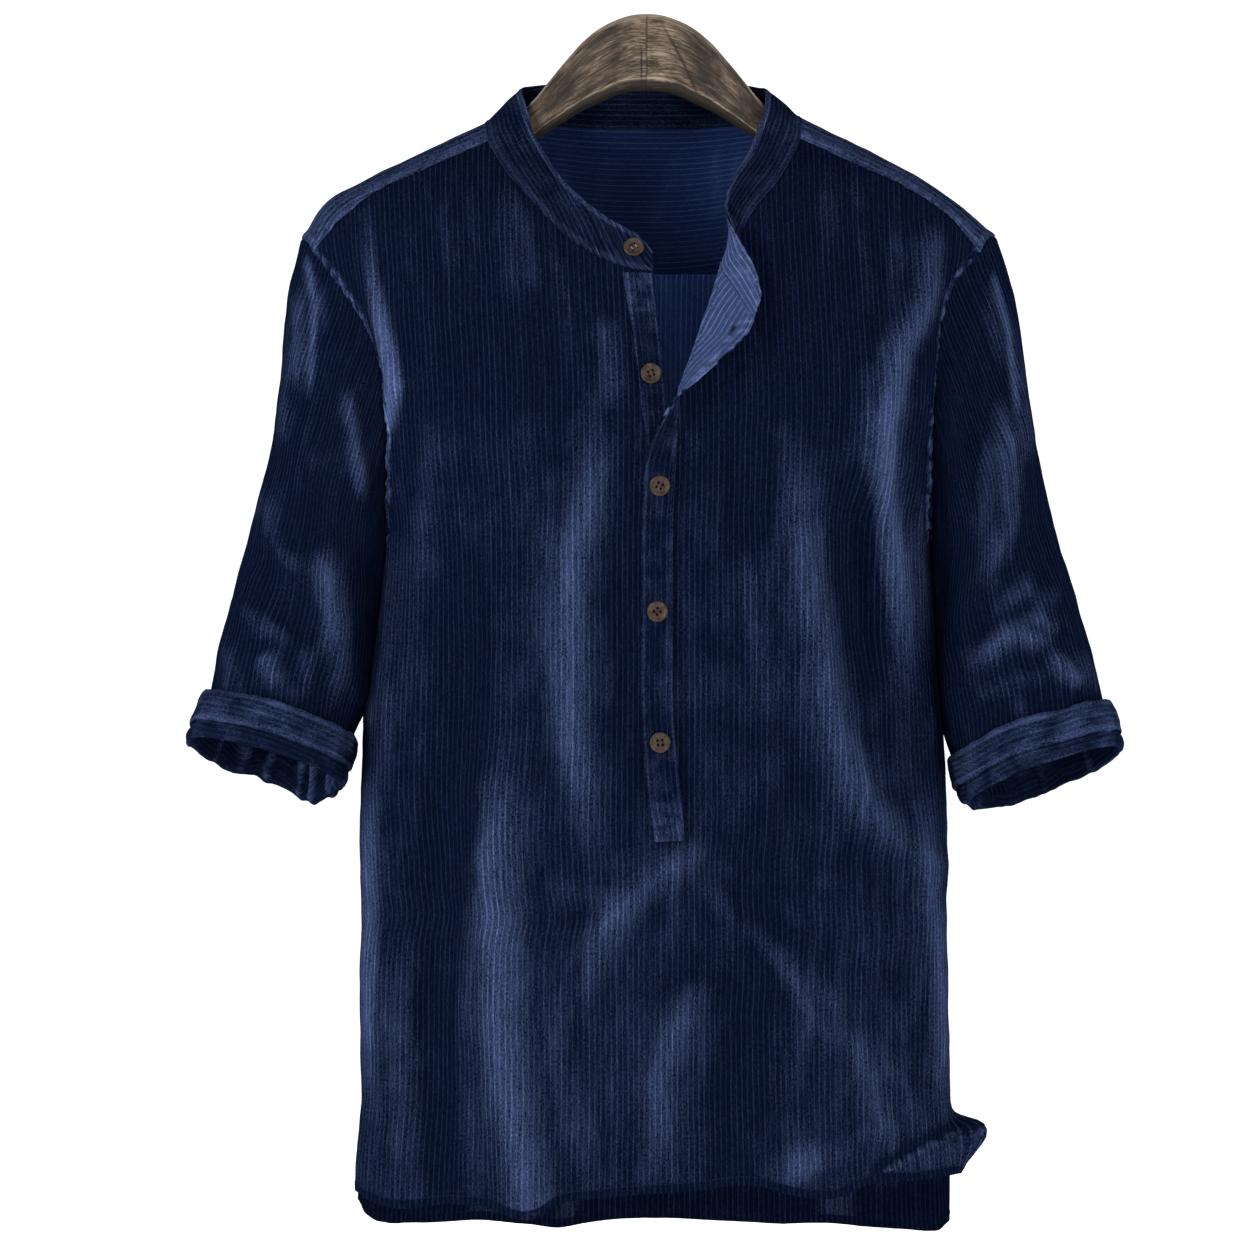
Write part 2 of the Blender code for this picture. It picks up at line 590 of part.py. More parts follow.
# ================================================================ front, back and yoke
def shoulder_line(rows, x_name, z_name):
    """Points along one line of the shoulder table, from the neck to the armhole."""
    return along([(getattr(row, x_name), getattr(row, z_name)) for row in rows], SHOULDER_STEPS)


def front_top_line():
    """Stations along the top of the front, from the left armhole to the right one."""
    parts = [
        shoulder_line(LEFT_SHOULDER, "seam_x", "seam_z")[::-1],
        along(LEFT_NECKLINE, LEFT_NECK_STEPS)[1:],
        np.linspace(LEFT_NECKLINE[-1], FOLD_LINE[0], OPENING_STEPS + 1)[1:-1],
        along(FOLD_LINE, FOLD_LINE_STEPS),
        along(RIGHT_NECKLINE, RIGHT_NECK_STEPS)[1:],
        shoulder_line(RIGHT_SHOULDER, "seam_x", "seam_z")[1:],
    ]
    return np.concatenate(parts)


def panel_heights(top, hem):
    """Heights of a panel's rows, from the hem to the top line, for each column."""
    low = np.linspace(0, 1, HEM_STEPS + 1)[:-1, None]
    middle = np.linspace(VENT_HEIGHT, ARMPIT_HEIGHT, BELOW_ARMPIT_STEPS + 1)[:-1, None]
    high = np.linspace(0, 1, ABOVE_ARMPIT_STEPS + 1)[:, None]
    return np.concatenate([
        hem + (VENT_HEIGHT - hem) * low,
        middle + 0 * hem,
        ARMPIT_HEIGHT + (top - ARMPIT_HEIGHT) * high,
    ])


def flare_corner(points, t):
    """Curl the lower right corner outwards."""
    flare = CORNER_FLARE
    share = ease(t, flare.start_t, 1) * ease(-points[..., 2], -flare.top_z, -flare.bottom_z)
    move = np.array([flare.out, flare.forward, flare.up], float)
    return points + share[..., None] * move


def hem_heights(hem, sections, t):
    """Height of the hem at each column."""
    x = section_point(sections, t, np.full_like(t, VENT_HEIGHT))[..., 0]
    return smooth(x, [station.x for station in hem], [station.z for station in hem])


def front_sheet():
    """The front, with the V that opens where its right edge is turned out."""
    top = front_top_line()
    t = place_across(FRONT_SECTIONS, top[:, 0], top[:, 1])
    t[0], t[-1] = -1.0, 1.0
    z = panel_heights(top[:, 1], hem_heights(FRONT_HEM, FRONT_SECTIONS, t))
    points, _ = panel_surface(FRONT_SECTIONS, FRONT_FOLDS, 1, t, z)
    return Sheet("front_panel", flare_corner(points, t + 0 * z))


def back_sheet(front):
    """The back, below the yoke, joined to the front's side seams."""
    left = shoulder_line(LEFT_SHOULDER, "back_x", "back_z")[::-1]
    right = shoulder_line(RIGHT_SHOULDER, "back_x", "back_z")
    middle = np.linspace(left[-1], right[0], BACK_NECK_STEPS + 1)
    top = np.concatenate([left[:-1], middle, right[1:]])
    t = place_across(BACK_SECTIONS, top[:, 0], top[:, 1])
    t[0], t[-1] = -1.0, 1.0
    z = panel_heights(top[:, 1], hem_heights(BACK_HEM, BACK_SECTIONS, t))
    points, _ = panel_surface(BACK_SECTIONS, BACK_FOLDS, -1, t, z)
    seam = slice(HEM_STEPS, HEM_STEPS + BELOW_ARMPIT_STEPS + 1)
    for edge in (0, -1):
        points[seam, edge] = front.points[seam, edge]
    return Sheet("back_panel", points, flip=True)


def yoke_sheet(front, back):
    """The yoke: from its front seams over the shoulders and down to the back's seam."""
    columns = 2 * SHOULDER_STEPS + BACK_NECK_STEPS + 1
    rows = YOKE_FRONT_STEPS + YOKE_BACK_STEPS + 1
    points = np.zeros((rows, columns, 3))
    seam_back = back.points[-1]
    crests = {}
    for side, table in (("left", LEFT_SHOULDER), ("right", RIGHT_SHOULDER)):
        crests[side] = along([(row.crest_x, row.crest_y, row.crest_z) for row in table],
                             SHOULDER_STEPS)
    neck = along([(row.x, row.y, row.z) for row in BACK_NECK], BACK_NECK_STEPS)
    rolls = along([(row.x, row.y, row.z, row.roll) for row in BACK_NECK], BACK_NECK_STEPS)[:, 3]
    starts = np.concatenate([crests["left"][::-1], neck[1:-1], crests["right"]])
    rolls = np.radians(np.r_[np.zeros(SHOULDER_STEPS), rolls, np.zeros(SHOULDER_STEPS)])
    for j in range(columns):
        start, end, roll = starts[j], seam_back[j], rolls[j]
        crest_y = (start[1] - end[1] * math.sin(roll)) / (1 - math.sin(roll))
        crest_z = (start[2] - end[2] * (1 - math.cos(roll))) / math.cos(roll)
        for i in range(YOKE_BACK_STEPS + 1):
            share = i / YOKE_BACK_STEPS
            angle = roll + (math.pi / 2 - roll) * share
            points[YOKE_FRONT_STEPS + i, j] = (
                start[0] + (end[0] - start[0]) * share,
                crest_y + (end[1] - crest_y) * math.sin(angle),
                crest_z - (crest_z - end[2]) * (1 - math.cos(angle)))
    for j in list(range(SHOULDER_STEPS + 1)) + list(range(columns - SHOULDER_STEPS - 1, columns)):
        column = j if j <= SHOULDER_STEPS else j - columns
        seam, crest = front.points[-1, column], starts[j]
        for i in range(YOKE_FRONT_STEPS):
            share = 1 - i / YOKE_FRONT_STEPS
            angle = FRONT_ARC * share
            points[i, j] = (
                crest[0] + (seam[0] - crest[0]) * share,
                crest[1] + (seam[1] - crest[1]) * math.sin(angle) / math.sin(FRONT_ARC),
                crest[2] + (seam[2] - crest[2]) * (1 - math.cos(angle)) / (
                    1 - math.cos(FRONT_ARC)))
        points[0, j] = seam
    cells = np.ones((rows - 1, columns - 1), bool)
    cells[:YOKE_FRONT_STEPS, SHOULDER_STEPS:columns - 1 - SHOULDER_STEPS] = False
    points[-1] = seam_back
    return Sheet("back_yoke", points, cells)


# ================================================================ sleeves and cuffs
def armhole_loop(front, yoke, back, column):
    """Points round an armhole from the crest down the front to the armpit and up the back."""
    first = HEM_STEPS + BELOW_ARMPIT_STEPS
    over = yoke.points[:, column]
    loop = np.concatenate([
        over[YOKE_FRONT_STEPS:0:-1],
        front.points[first:, column][::-1],
        back.points[first + 1:, column],
        over[-2:YOKE_FRONT_STEPS:-1],
    ])
    return loop, YOKE_FRONT_STEPS + ABOVE_ARMPIT_STEPS


def edge_directions(sheets, column, loop):
    """The body's normals at the armhole's points and the directions into its pieces."""
    places, normals, inward = [], [], []
    neighbour = 1 if column == 0 else -2
    for sheet in sheets:
        edge = sheet.points[:, column]
        places.append(edge)
        normals.append(sheet.normals.reshape(sheet.points.shape)[:, column])
        inward.append(unit(sheet.points[:, neighbour] - edge))
    places, normals, inward = (np.concatenate(part) for part in (places, normals, inward))
    nearest = [int(np.argmin(np.linalg.norm(places - point, axis=1))) for point in loop]
    return normals[nearest], inward[nearest]


def ring_frame(table, at):
    """Middle, half width vector and half depth vector of a sleeve's ring."""
    numbers = np.arange(len(table))
    values = [smooth(at, numbers, [row[k] for row in table]) for k in range(len(table[0]))]
    outer_x, outer_z, inner_x, inner_z, centre_y, half_depth, tilt = values
    tilt = np.radians(tilt)
    middle = np.stack([(outer_x + inner_x) / 2, centre_y, (outer_z + inner_z) / 2], -1)
    half = np.stack([(outer_x - inner_x) / 2, 0 * outer_x, (outer_z - inner_z) / 2], -1)
    depth = np.stack([0 * tilt, half_depth * np.cos(tilt), -half_depth * np.sin(tilt)], -1)
    return middle, half, depth


class Sleeve:
    """One sleeve's surface, as a function of the ring's number and the point on the ring."""

    def __init__(self, table, folds, loop, armpit):
        self.table, self.folds, self.loop = table, folds, loop
        lengths = np.linalg.norm(loop - np.roll(loop, 1, axis=0), axis=1)
        run = np.cumsum(lengths) - lengths[0]
        whole = run[-1] + lengths[0]
        down, up = run[:armpit + 1], run[armpit + 1:]
        self.angles = np.r_[math.pi * down / down[-1],
                            math.pi * (1 + (up - down[-1]) / (whole - down[-1]))]
        first = self.oval(0.0)
        self.shift = loop - first
        self.last = len(table) - 1

    def oval(self, at):
        middle, half, depth = ring_frame(self.table, at)
        return (middle + np.cos(self.angles)[:, None] * half
                - np.sin(self.angles)[:, None] * depth)

    def ring(self, at):
        """Points of one ring with the sleeve's folds on its front."""
        points = self.oval(at) + self.shift * (1 - ease(at / self.last, 0, ARMHOLE_FADE))
        middle, _, _ = ring_frame(self.table, at)
        outward = unit((points - middle) * np.array([1, 1, 0.15]))
        front = ease(np.sin(self.angles), 0.05, 0.5) * ease(at, 0.2, 1.2)
        height = fold_height(self.folds, points[:, 0], points[:, 2]) * front
        return points + outward * height[:, None]

    def start_gap(self, normals, inward):
        """How far the sleeve's edge keeps from the armhole so that the walls stay apart.

        normals and inward are the outward normals of the body's pieces at the armhole and
        the directions from their edges into them.
        """
        round_it = unit(np.roll(self.loop, -1, axis=0) - np.roll(self.loop, 1, axis=0))
        direction = self.ring(START_STEP) - self.ring(0.0)
        direction = unit(direction - round_it * np.sum(direction * round_it, axis=1)[:, None])
        own = np.cross(direction, round_it)
        half = CLOTH_WALL / 2
        rise = np.sum(direction * normals, axis=1)
        above = half + SEAM_GAP + half * np.abs(np.sum(own * normals, axis=1))
        away = -np.sum(direction * inward, axis=1)
        beyond = SEAM_GAP / 2 + half * np.abs(np.sum(own * inward, axis=1))
        gaps = np.minimum(np.where(rise > 0.1, above / np.maximum(rise, 0.1), 99),
                          np.where(away > 0.1, beyond / np.maximum(away, 0.1), 99))
        gap = direction * np.minimum(gaps, START_GAP_LIMIT)[:, None]
        down = self.ring(START_STEP) - self.ring(0.0)
        near_armpit = ease(-np.cos(self.angles), 0.75, 1.0)[:, None]
        armpit_gap = unit(down * np.array([1.4, 0.3, 1.0])) * ARMPIT_GAP
        return gap * (1 - near_armpit) + armpit_gap * near_armpit


def keep_clear(points, sheets, distance):
    """Move points that are too near to the body's sheets away from them."""
    trees = [BVHTree.FromPolygons(sheet.flat.tolist(), sheet.triangles()) for sheet in sheets]
    for place in np.ndindex(points.shape[:-1]):
        for tree in trees:
            hit, normal, _, apart = tree.find_nearest(points[place], distance)
            if hit is None:
                continue
            away = Vector(points[place]) - hit
            inside = away.dot(normal) < 0 and away.length < 1e-6 + abs(away.dot(normal)) * 1.2
            direction = normal if inside or apart < 1e-6 else away.normalized()
            points[place] = hit + direction * distance


def make_sleeve(side, sleeve, normals, inward, body, materials):
    """The sleeve and the rolled cuff round its end."""
    last = sleeve.last
    end = CUFF_START + (last - CUFF_START) * SLEEVE_END_SHARE
    stations = end * np.linspace(0, 1, SLEEVE_STEPS + 1)
    rings = np.array([sleeve.ring(at) for at in stations])
    keep_clear(rings[1:], body, BODY_CLEARANCE)
    rings[0] = rings[0] + sleeve.start_gap(normals, inward)
    flip = side == "right"
    sheet = Sheet("sleeve_" + side, rings[::-1], closed=True, flip=not flip)
    sheet.build(materials["cloth"])

    loops = []
    for point in CUFF_PROFILE:
        at = CUFF_START + (last - CUFF_START) * point.down
        ring = sleeve.ring(at)
        middle, _, _ = ring_frame(sleeve.table, at)
        loops.append(ring + unit(ring - middle) * point.out)
    torus("cuff_" + side, np.array(loops), materials["cloth"], not flip)


def torus(name, loops, material, flip):
    """A solid closed both round its rings and round its profile."""
    rows, columns = loops.shape[:2]
    faces = []
    for i in range(rows):
        for j in range(columns):
            k, n = (j + 1) % columns, (i + 1) % rows
            face = [i * columns + j, i * columns + k, n * columns + k, n * columns + j]
            faces.append(face if flip else face[::-1])
    return solid(name, loops.reshape(-1, 3), faces, material)


# ================================================================ collar and plackets
def collar_sheet(front, yoke, turned_line):
    """The band: its lower edge is the neckline, its upper edge follows the table."""
    left_start = SHOULDER_STEPS + LEFT_NECK_STEPS
    left = front.points[-1, left_start:SHOULDER_STEPS:-1]
    left_side = yoke.points[:YOKE_FRONT_STEPS, SHOULDER_STEPS]
    right_column = SHOULDER_STEPS + BACK_NECK_STEPS
    nape = yoke.points[YOKE_FRONT_STEPS, SHOULDER_STEPS:right_column + 1]
    right_side = yoke.points[:YOKE_FRONT_STEPS, right_column][::-1]
    right_end = front.points.shape[1] - 1 - SHOULDER_STEPS
    right = front.points[-1, right_end - 1:right_end - RIGHT_NECK_STEPS + 1:-1]
    seam = np.concatenate([left, left_side, nape, right_side, right])
    table = np.array(COLLAR_BAND, float)
    table_run = np.r_[0, np.cumsum(np.linalg.norm(np.diff(table[:, :3], axis=0), axis=1))]
    seam_run = np.r_[0, np.cumsum(np.linalg.norm(np.diff(seam, axis=0), axis=1))]
    share = seam_run / seam_run[-1]
    top = np.stack([smooth(share, table_run / table_run[-1], table[:, 3 + k])
                    for k in range(3)], -1)
    turned = np.array(TURNED_BAND, float)
    seam = np.concatenate([seam, turned[:, :3], turned_line])
    top = np.concatenate([top, turned[:, 3:], np.array(TURNED_END_TOP, float)])
    rows = np.linspace(0, 1, BAND_ROWS)[:, None, None]
    points = seam + (top - seam) * rows
    return Sheet("collar_band", points, flip=True)


def strip_sheet(name, table, steps, front, flip):
    """A strip on the front, with edges and lifts from its table."""
    rows = np.array(table, float)
    run = np.r_[0, np.cumsum(np.hypot(*np.diff((rows[:, :2] + rows[:, 3:5]) / 2, axis=0).T))]
    at = np.linspace(0, run[-1], steps + 1)
    edges = np.stack([smooth(at, run, rows[:, k]) for k in range(6)], -1)
    across = np.linspace(0, 1, PLACKET_COLUMNS)
    mix = edges[:, None, :3] + (edges[:, None, 3:] - edges[:, None, :3]) * across[None, :, None]
    points, _ = on_front(front, mix[..., 0], mix[..., 1], mix[..., 2])
    return Sheet(name, points, flip=flip, wall=STRIP_WALL)


# ================================================================ buttons
def button_mesh(material):
    """A turned button with four holes, its back at height 0."""
    shape = bmesh.new()
    rings = []
    for radius, height in BUTTON_PROFILE:
        ring = []
        for k in range(BUTTON_SIDES):
            angle = 2 * math.pi * k / BUTTON_SIDES
            ring.append(shape.verts.new((radius * math.cos(angle) * MM,
                                         radius * math.sin(angle) * MM, height * MM)))
        rings.append(ring)
    shape.faces.new(rings[0])
    shape.faces.new(rings[-1][::-1])
    for upper, lower in zip(rings, rings[1:]):
        for k in range(BUTTON_SIDES):
            m = (k + 1) % BUTTON_SIDES
            shape.faces.new([upper[k], lower[k], lower[m], upper[m]])
    bmesh.ops.recalc_face_normals(shape, faces=shape.faces)
    mesh = bpy.data.meshes.new("button_blank")
    shape.to_mesh(mesh)
    shape.free()
    mesh.materials.append(material)
    blank = bpy.data.objects.new("button_blank", mesh)
    bpy.context.scene.collection.objects.link(blank)
    holes = []
    for across in (-BUTTON_HOLE_OFFSET, BUTTON_HOLE_OFFSET):
        for up in (-BUTTON_HOLE_OFFSET, BUTTON_HOLE_OFFSET):
            hole = drill("button_hole", BUTTON_HOLE_RADIUS, 8, 8)
            hole.location = (across * MM, up * MM, 0)
            cut(blank, hole)
            holes.append(hole)
    ready = blank.evaluated_get(bpy.context.evaluated_depsgraph_get())
    drilled = bpy.data.meshes.new_from_object(ready)
    shape = bmesh.new()
    shape.from_mesh(drilled)
    bmesh.ops.triangulate(shape, faces=shape.faces)
    shape.to_mesh(drilled)
    shape.free()
    for thing in [blank] + holes:
        bpy.data.objects.remove(thing, do_unlink=True)
    return drilled


def place_button(name, mesh, seat, normal, turn):
    """One button with its back just above its seat."""
    button = bpy.data.objects.new(name, mesh)
    bpy.context.scene.collection.objects.link(button)
    upright = Vector((0, 0, 1)).rotation_difference(Vector(normal)).to_matrix().to_4x4()
    spin = Matrix.Rotation(math.radians(turn), 4, "Z")
    button.matrix_world = Matrix.Translation(Vector(seat) * MM) @ upright @ spin


def drill(name, radius, length, sides):
    """A round cutter along Z, hidden from the render."""
    shape = bmesh.new()
    bmesh.ops.create_cone(shape, cap_ends=True, segments=sides, radius1=radius * MM,
                          radius2=radius * MM, depth=length * MM)
    mesh = bpy.data.meshes.new(name)
    shape.to_mesh(mesh)
    shape.free()
    cutter = bpy.data.objects.new(name, mesh)
    bpy.context.scene.collection.objects.link(cutter)
    cutter.hide_render = True
    cutter.display_type = "WIRE"
    return cutter


def cut(thing, cutter):
    """Take the cutter's shape out of a solid."""
    modifier = thing.modifiers.new(cutter.name, "BOOLEAN")
    modifier.operation = "DIFFERENCE"
    modifier.solver = "EXACT"
    modifier.object = cutter


def make_buttons(front, collar, material):
    """One button on the band and four down the placket."""
    mesh = button_mesh(material)
    middle_row = collar.points[:, 1:4]
    across = np.argmin(np.abs(middle_row[0, :, 0] - BAND_BUTTON_X))
    low, high = middle_row[0, across], middle_row[-1, across]
    seat = low + (high - low) * BAND_BUTTON_SHARE
    normal = unit(np.cross(middle_row[0, across] - middle_row[0, across - 1], high - low))
    normal = normal * -np.sign(normal[1])
    lift = CLOTH_WALL / 2 + BUTTON_GAP
    place_button("button_1", mesh, seat + normal * lift, normal, BAND_BUTTON_TURN)
    for number, row in enumerate(BUTTON_SEATS, start=2):
        point, normal = on_front(front, row.x, row.z,
                                 row.lift + STRIP_WALL / 2 + BUTTON_GAP)
        place_button(f"button_{number}", mesh, point, normal, row.turn)


# ================================================================ hanger
def make_hanger(material):
    """The two halves of the hanger with the hole for the hook in their joint."""
    hole = drill("hook_hole", HOOK_HOLE_RADIUS, 2 * HOOK_HOLE_DEPTH, 16)
    for side, sign in (("left", -1), ("right", 1)):
        points = []
        for row in HANGER_ARM:
            for k in range(ARM_SIDES):
                angle = 2 * math.pi * (k + 0.5) / ARM_SIDES
                c, s = math.cos(angle), math.sin(angle)
                y = row.half_depth * math.copysign(abs(c) ** ARM_SQUARENESS, c)
                z = math.copysign(abs(s) ** ARM_SQUARENESS, s)
                z = (row.top + row.bottom) / 2 + z * (row.top - row.bottom) / 2
                points.append((sign * row.x, y, z))
        faces = [list(range(ARM_SIDES))[::sign]]
        for i in range(len(HANGER_ARM) - 1):
            for k in range(ARM_SIDES):
                m = (k + 1) % ARM_SIDES
                a, b = i * ARM_SIDES, (i + 1) * ARM_SIDES
                faces.append([a + k, b + k, b + m, a + m][::sign])
        end = (len(HANGER_ARM) - 1) * ARM_SIDES
        faces.append([end + k for k in range(ARM_SIDES)][::-sign])
        faces = [face[::-1] for face in faces]
        arm = solid("hanger_" + side, points, faces, material)
        cut(arm, hole)


# ================================================================ the whole shirt
def main():
    """Build every piece."""
    for thing in list(bpy.data.objects):
        bpy.data.objects.remove(thing, do_unlink=True)
    materials = {
        "cloth": finish_of("navy_pinstripe", NAVY, 0.85),
        "turned": finish_of("navy_wrong_side", NAVY_LIGHT, 0.85),
        "horn": finish_of("brown_horn", HORN, 0.35),
        "wood": finish_of("old_wood", OLD_WOOD, 0.7),
    }
    front = front_sheet()
    back = back_sheet(front)
    yoke = yoke_sheet(front, back)
    over = strip_sheet("over_placket", OVER_PLACKET, OVER_STEPS, front, flip=True)
    under = strip_sheet("under_placket", UNDER_PLACKET, UNDER_STEPS, front, flip=False)
    collar = collar_sheet(front, yoke, over.points[-1])

    sleeves = []
    for side, column, table, folds in (("left", 0, LEFT_SLEEVE, LEFT_SLEEVE_FOLDS),
                                       ("right", -1, RIGHT_SLEEVE, RIGHT_SLEEVE_FOLDS)):
        loop, armpit = armhole_loop(front, yoke, back, column)
        normals, inward = edge_directions((front, yoke, back), column, loop)
        sleeves.append((side, Sleeve(table, folds, loop, armpit), normals, inward))

    make_buttons(front, collar, materials["horn"])
    share_normals([front, back, yoke, collar, over])
    for sheet, finish in ((front, "cloth"), (back, "cloth"), (yoke, "cloth"),
                          (collar, "cloth"), (under, "cloth"), (over, "turned")):
        sheet.trim(SEAM_GAP / 2)
        sheet.build(materials[finish])
    for side, sleeve, normals, inward in sleeves:
        make_sleeve(side, sleeve, normals, inward, (front, back), materials)
    make_hanger(materials["wood"])


main()
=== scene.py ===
import math

import bmesh
import bpy
import numpy as np
from mathutils import Matrix, Vector, noise
from mathutils.bvhtree import BVHTree


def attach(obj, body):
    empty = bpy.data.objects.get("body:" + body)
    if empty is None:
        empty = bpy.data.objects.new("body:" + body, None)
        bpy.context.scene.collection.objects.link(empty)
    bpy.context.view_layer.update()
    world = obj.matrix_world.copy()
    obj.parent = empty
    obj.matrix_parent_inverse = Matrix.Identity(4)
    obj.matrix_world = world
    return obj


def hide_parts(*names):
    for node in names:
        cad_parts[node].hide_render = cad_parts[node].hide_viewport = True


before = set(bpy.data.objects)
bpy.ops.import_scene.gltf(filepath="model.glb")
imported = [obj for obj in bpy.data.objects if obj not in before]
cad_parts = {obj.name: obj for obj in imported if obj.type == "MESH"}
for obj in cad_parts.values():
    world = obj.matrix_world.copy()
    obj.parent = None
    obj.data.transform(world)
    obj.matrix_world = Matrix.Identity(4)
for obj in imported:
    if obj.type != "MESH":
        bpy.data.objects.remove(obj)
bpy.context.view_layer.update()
mm = 0.001
print("stage: the frame is loaded")


def placed(name, data, place=(0, 0, 0), turn=(0, 0, 0)):
    thing = bpy.data.objects.new(name, data)
    thing.location, thing.rotation_euler = place, turn
    bpy.context.scene.collection.objects.link(thing)
    return thing


# ---- view, light and floor

view = {"place": (-12.5, -3000.0, -392.3), "halfWidth": 401.3,    # halfWidth is seen at y = 0
        "sensor": 36.0}


def makeCamera():
    data = bpy.data.cameras.new("photoCamera")
    data.sensor_width = view["sensor"]
    data.lens = view["sensor"] / 2 * -view["place"][1] / view["halfWidth"]
    data.clip_start, data.clip_end = 0.1, 30.0
    place = Vector(view["place"]) * mm
    bpy.context.scene.camera = placed("photoCamera", data, place, (math.pi / 2, 0, 0))


studio = {
    # name, place, target, size across, size up, watts
    "lamps": [
        ("keyLamp", (-1.9, -1.5, 0.5), (0.0, 0.0, -0.35), 0.8, 1.3, 50.0),
        ("sideLamp", (2.1, -1.1, 0.2), (0.0, 0.0, -0.4), 0.7, 1.4, 27.0),
        ("frontLamp", (0.2, -3.2, 0.9), (0.0, 0.0, -0.4), 1.8, 1.2, 13.0),
        ("backLamp", (0.6, 2.3, 0.9), (0.0, 0.0, -0.4), 2.4, 1.6, 42.0),
    ],
    "worldLight": 0.20, "floorGlow": 0.62,
    "floorHeight": -1.05, "floorDepth": 7.0, "floorReach": 9.0, "wallTop": 7.0, "bend": 2.2,
}


def makeLamps():
    for name, place, target, across, up, watts in studio["lamps"]:
        data = bpy.data.lights.new(name, "AREA")
        data.shape, data.size, data.size_y, data.energy = "RECTANGLE", across, up, watts
        aim = Vector(target) - Vector(place)
        placed(name, data, place, aim.to_track_quat("-Z", "Y").to_euler())
    world = bpy.data.worlds.new("studioWorld")
    world.use_nodes = True
    background = world.node_tree.nodes["Background"].inputs
    background["Color"].default_value = (1, 1, 1, 1)
    background["Strength"].default_value = studio["worldLight"]
    bpy.context.scene.world = world
    bpy.context.scene.view_settings.view_transform = "Standard"


# ---- shader maths

class Wire:
    # What a node gives, to reckon with
    def __init__(self, finish, socket):
        self.finish, self.socket = finish, socket

    def join(self, operation, *values, **settings):
        settings["operation"] = operation
        return self.finish.add("ShaderNodeMath", settings, dict(enumerate(values)))


for sign, operation in {"add": "ADD", "sub": "SUBTRACT", "mul": "MULTIPLY",
                        "truediv": "DIVIDE"}.items():
    setattr(Wire, f"__{sign}__",
            lambda self, other, operation=operation: self.join(operation, self, other))
    setattr(Wire, f"__r{sign}__",
            lambda self, other, operation=operation: self.join(operation, other, self))


class Finish:
    def __init__(self, name):
        self.material = bpy.data.materials.new(name)
        self.material.use_nodes = True
        self.tree = self.material.node_tree

    def add(self, kind, settings, values, output=0):
        node = self.tree.nodes.new(kind)
        for key, value in settings.items():
            if key == "stops":                       # a ramp's places and colours
                ramp = node.color_ramp.elements
                while len(ramp) < len(value):
                    ramp.new(0.5)
                for stop, (place, colour) in zip(ramp, value):
                    stop.position, stop.color = place, (*colour, 1)
            else:
                setattr(node, key, value)
        self.plug(node, values)
        return Wire(self, node.outputs[output])

    def plug(self, node, values):
        for key, value in values.items():
            socket = node.inputs[key]
            if isinstance(value, Wire):
                self.tree.links.new(value.socket, socket)
            elif socket.type == "RGBA":
                socket.default_value = (*value, 1)
            else:
                socket.default_value = value

    def done(self, values, height=None, strength=1.0, distance=1.0):
        # Feed the surface, with a bump of this height
        if height is not None:
            values["Normal"] = self.add("ShaderNodeBump", {}, {
                "Height": height, "Strength": strength, "Distance": distance})
        self.plug(self.tree.nodes["Principled BSDF"], values)
        return self.material

    def cutMap(self):
        return self.add("ShaderNodeUVMap", {"uv_map": "cut"}, {})

    # the per-point value of wash wear together with painted highlight and shade
    def worn(self):
        return self.add("ShaderNodeAttribute", {"attribute_name": "worn"}, {}, "Fac")

    def objectPlace(self):
        return self.add("ShaderNodeTexCoord", {}, {}, "Object")

    def mix(self, share, first, second):
        return self.add("ShaderNodeMix", {"data_type": "RGBA"}, {0: share, 6: first, 7: second}, 2)

    def noise(self, place, scale, detail=2.0, rough=0.5):
        # The scale is one number, or one for each direction
        if isinstance(scale, tuple):
            place = self.add("ShaderNodeVectorMath", {"operation": "MULTIPLY"},
                             {0: place, 1: scale})
            scale = 1.0
        return self.add("ShaderNodeTexNoise", {}, {
            "Vector": place, "Scale": scale, "Detail": detail, "Roughness": rough})

    def spread(self, value, low, high):              # 0 at low, 1 at high, held outside
        return self.add("ShaderNodeMapRange", {"interpolation_type": "SMOOTHSTEP"},
                        {0: value, 1: low, 2: high, 3: 0.0, 4: 1.0})


# ---- finishes

# Colours are linear. The cloth's map runs across the stripes in u and along them in v, in metres.
clothLook = {"pitch": 0.0035, "lineWidth": 0.155, "rough": 0.85}     # width as a share of pitch
clothColours = {
    # the ground, unworn and at full wear and painted light, the lines, the same, and how strongly they
    # show; the last two are the inner sides of these nodes
    "navyPinstripe": ((0.0012, 0.0028, 0.0100), (0.070, 0.104, 0.250),
                      (0.0076, 0.0138, 0.0420), (0.185, 0.245, 0.480), 1.0),
    "rolledPinstripe": ((0.0020, 0.0042, 0.0140), (0.070, 0.104, 0.250),
                        (0.0100, 0.0180, 0.0480), (0.185, 0.245, 0.480), 0.5),
    "paleWrongSide": ((0.022, 0.036, 0.096), (0.072, 0.104, 0.230),
                      (0.100, 0.140, 0.285), (0.150, 0.205, 0.385), 1.0),
    # the yoke's and the back panel's insides are one cloth in two brightnesses, the panel's 2.9 times the
    # yoke's: painted shade and light inside the neck
    "back_yoke": ((0.008, 0.018, 0.072), (0.032, 0.056, 0.160),
                  (0.030, 0.056, 0.170), (0.072, 0.112, 0.265), 1.0),
    "back_panel": ((0.0232, 0.0522, 0.2088), (0.0928, 0.1624, 0.4640),
                   (0.0870, 0.1624, 0.4930), (0.2088, 0.3248, 0.7685), 1.0),
}


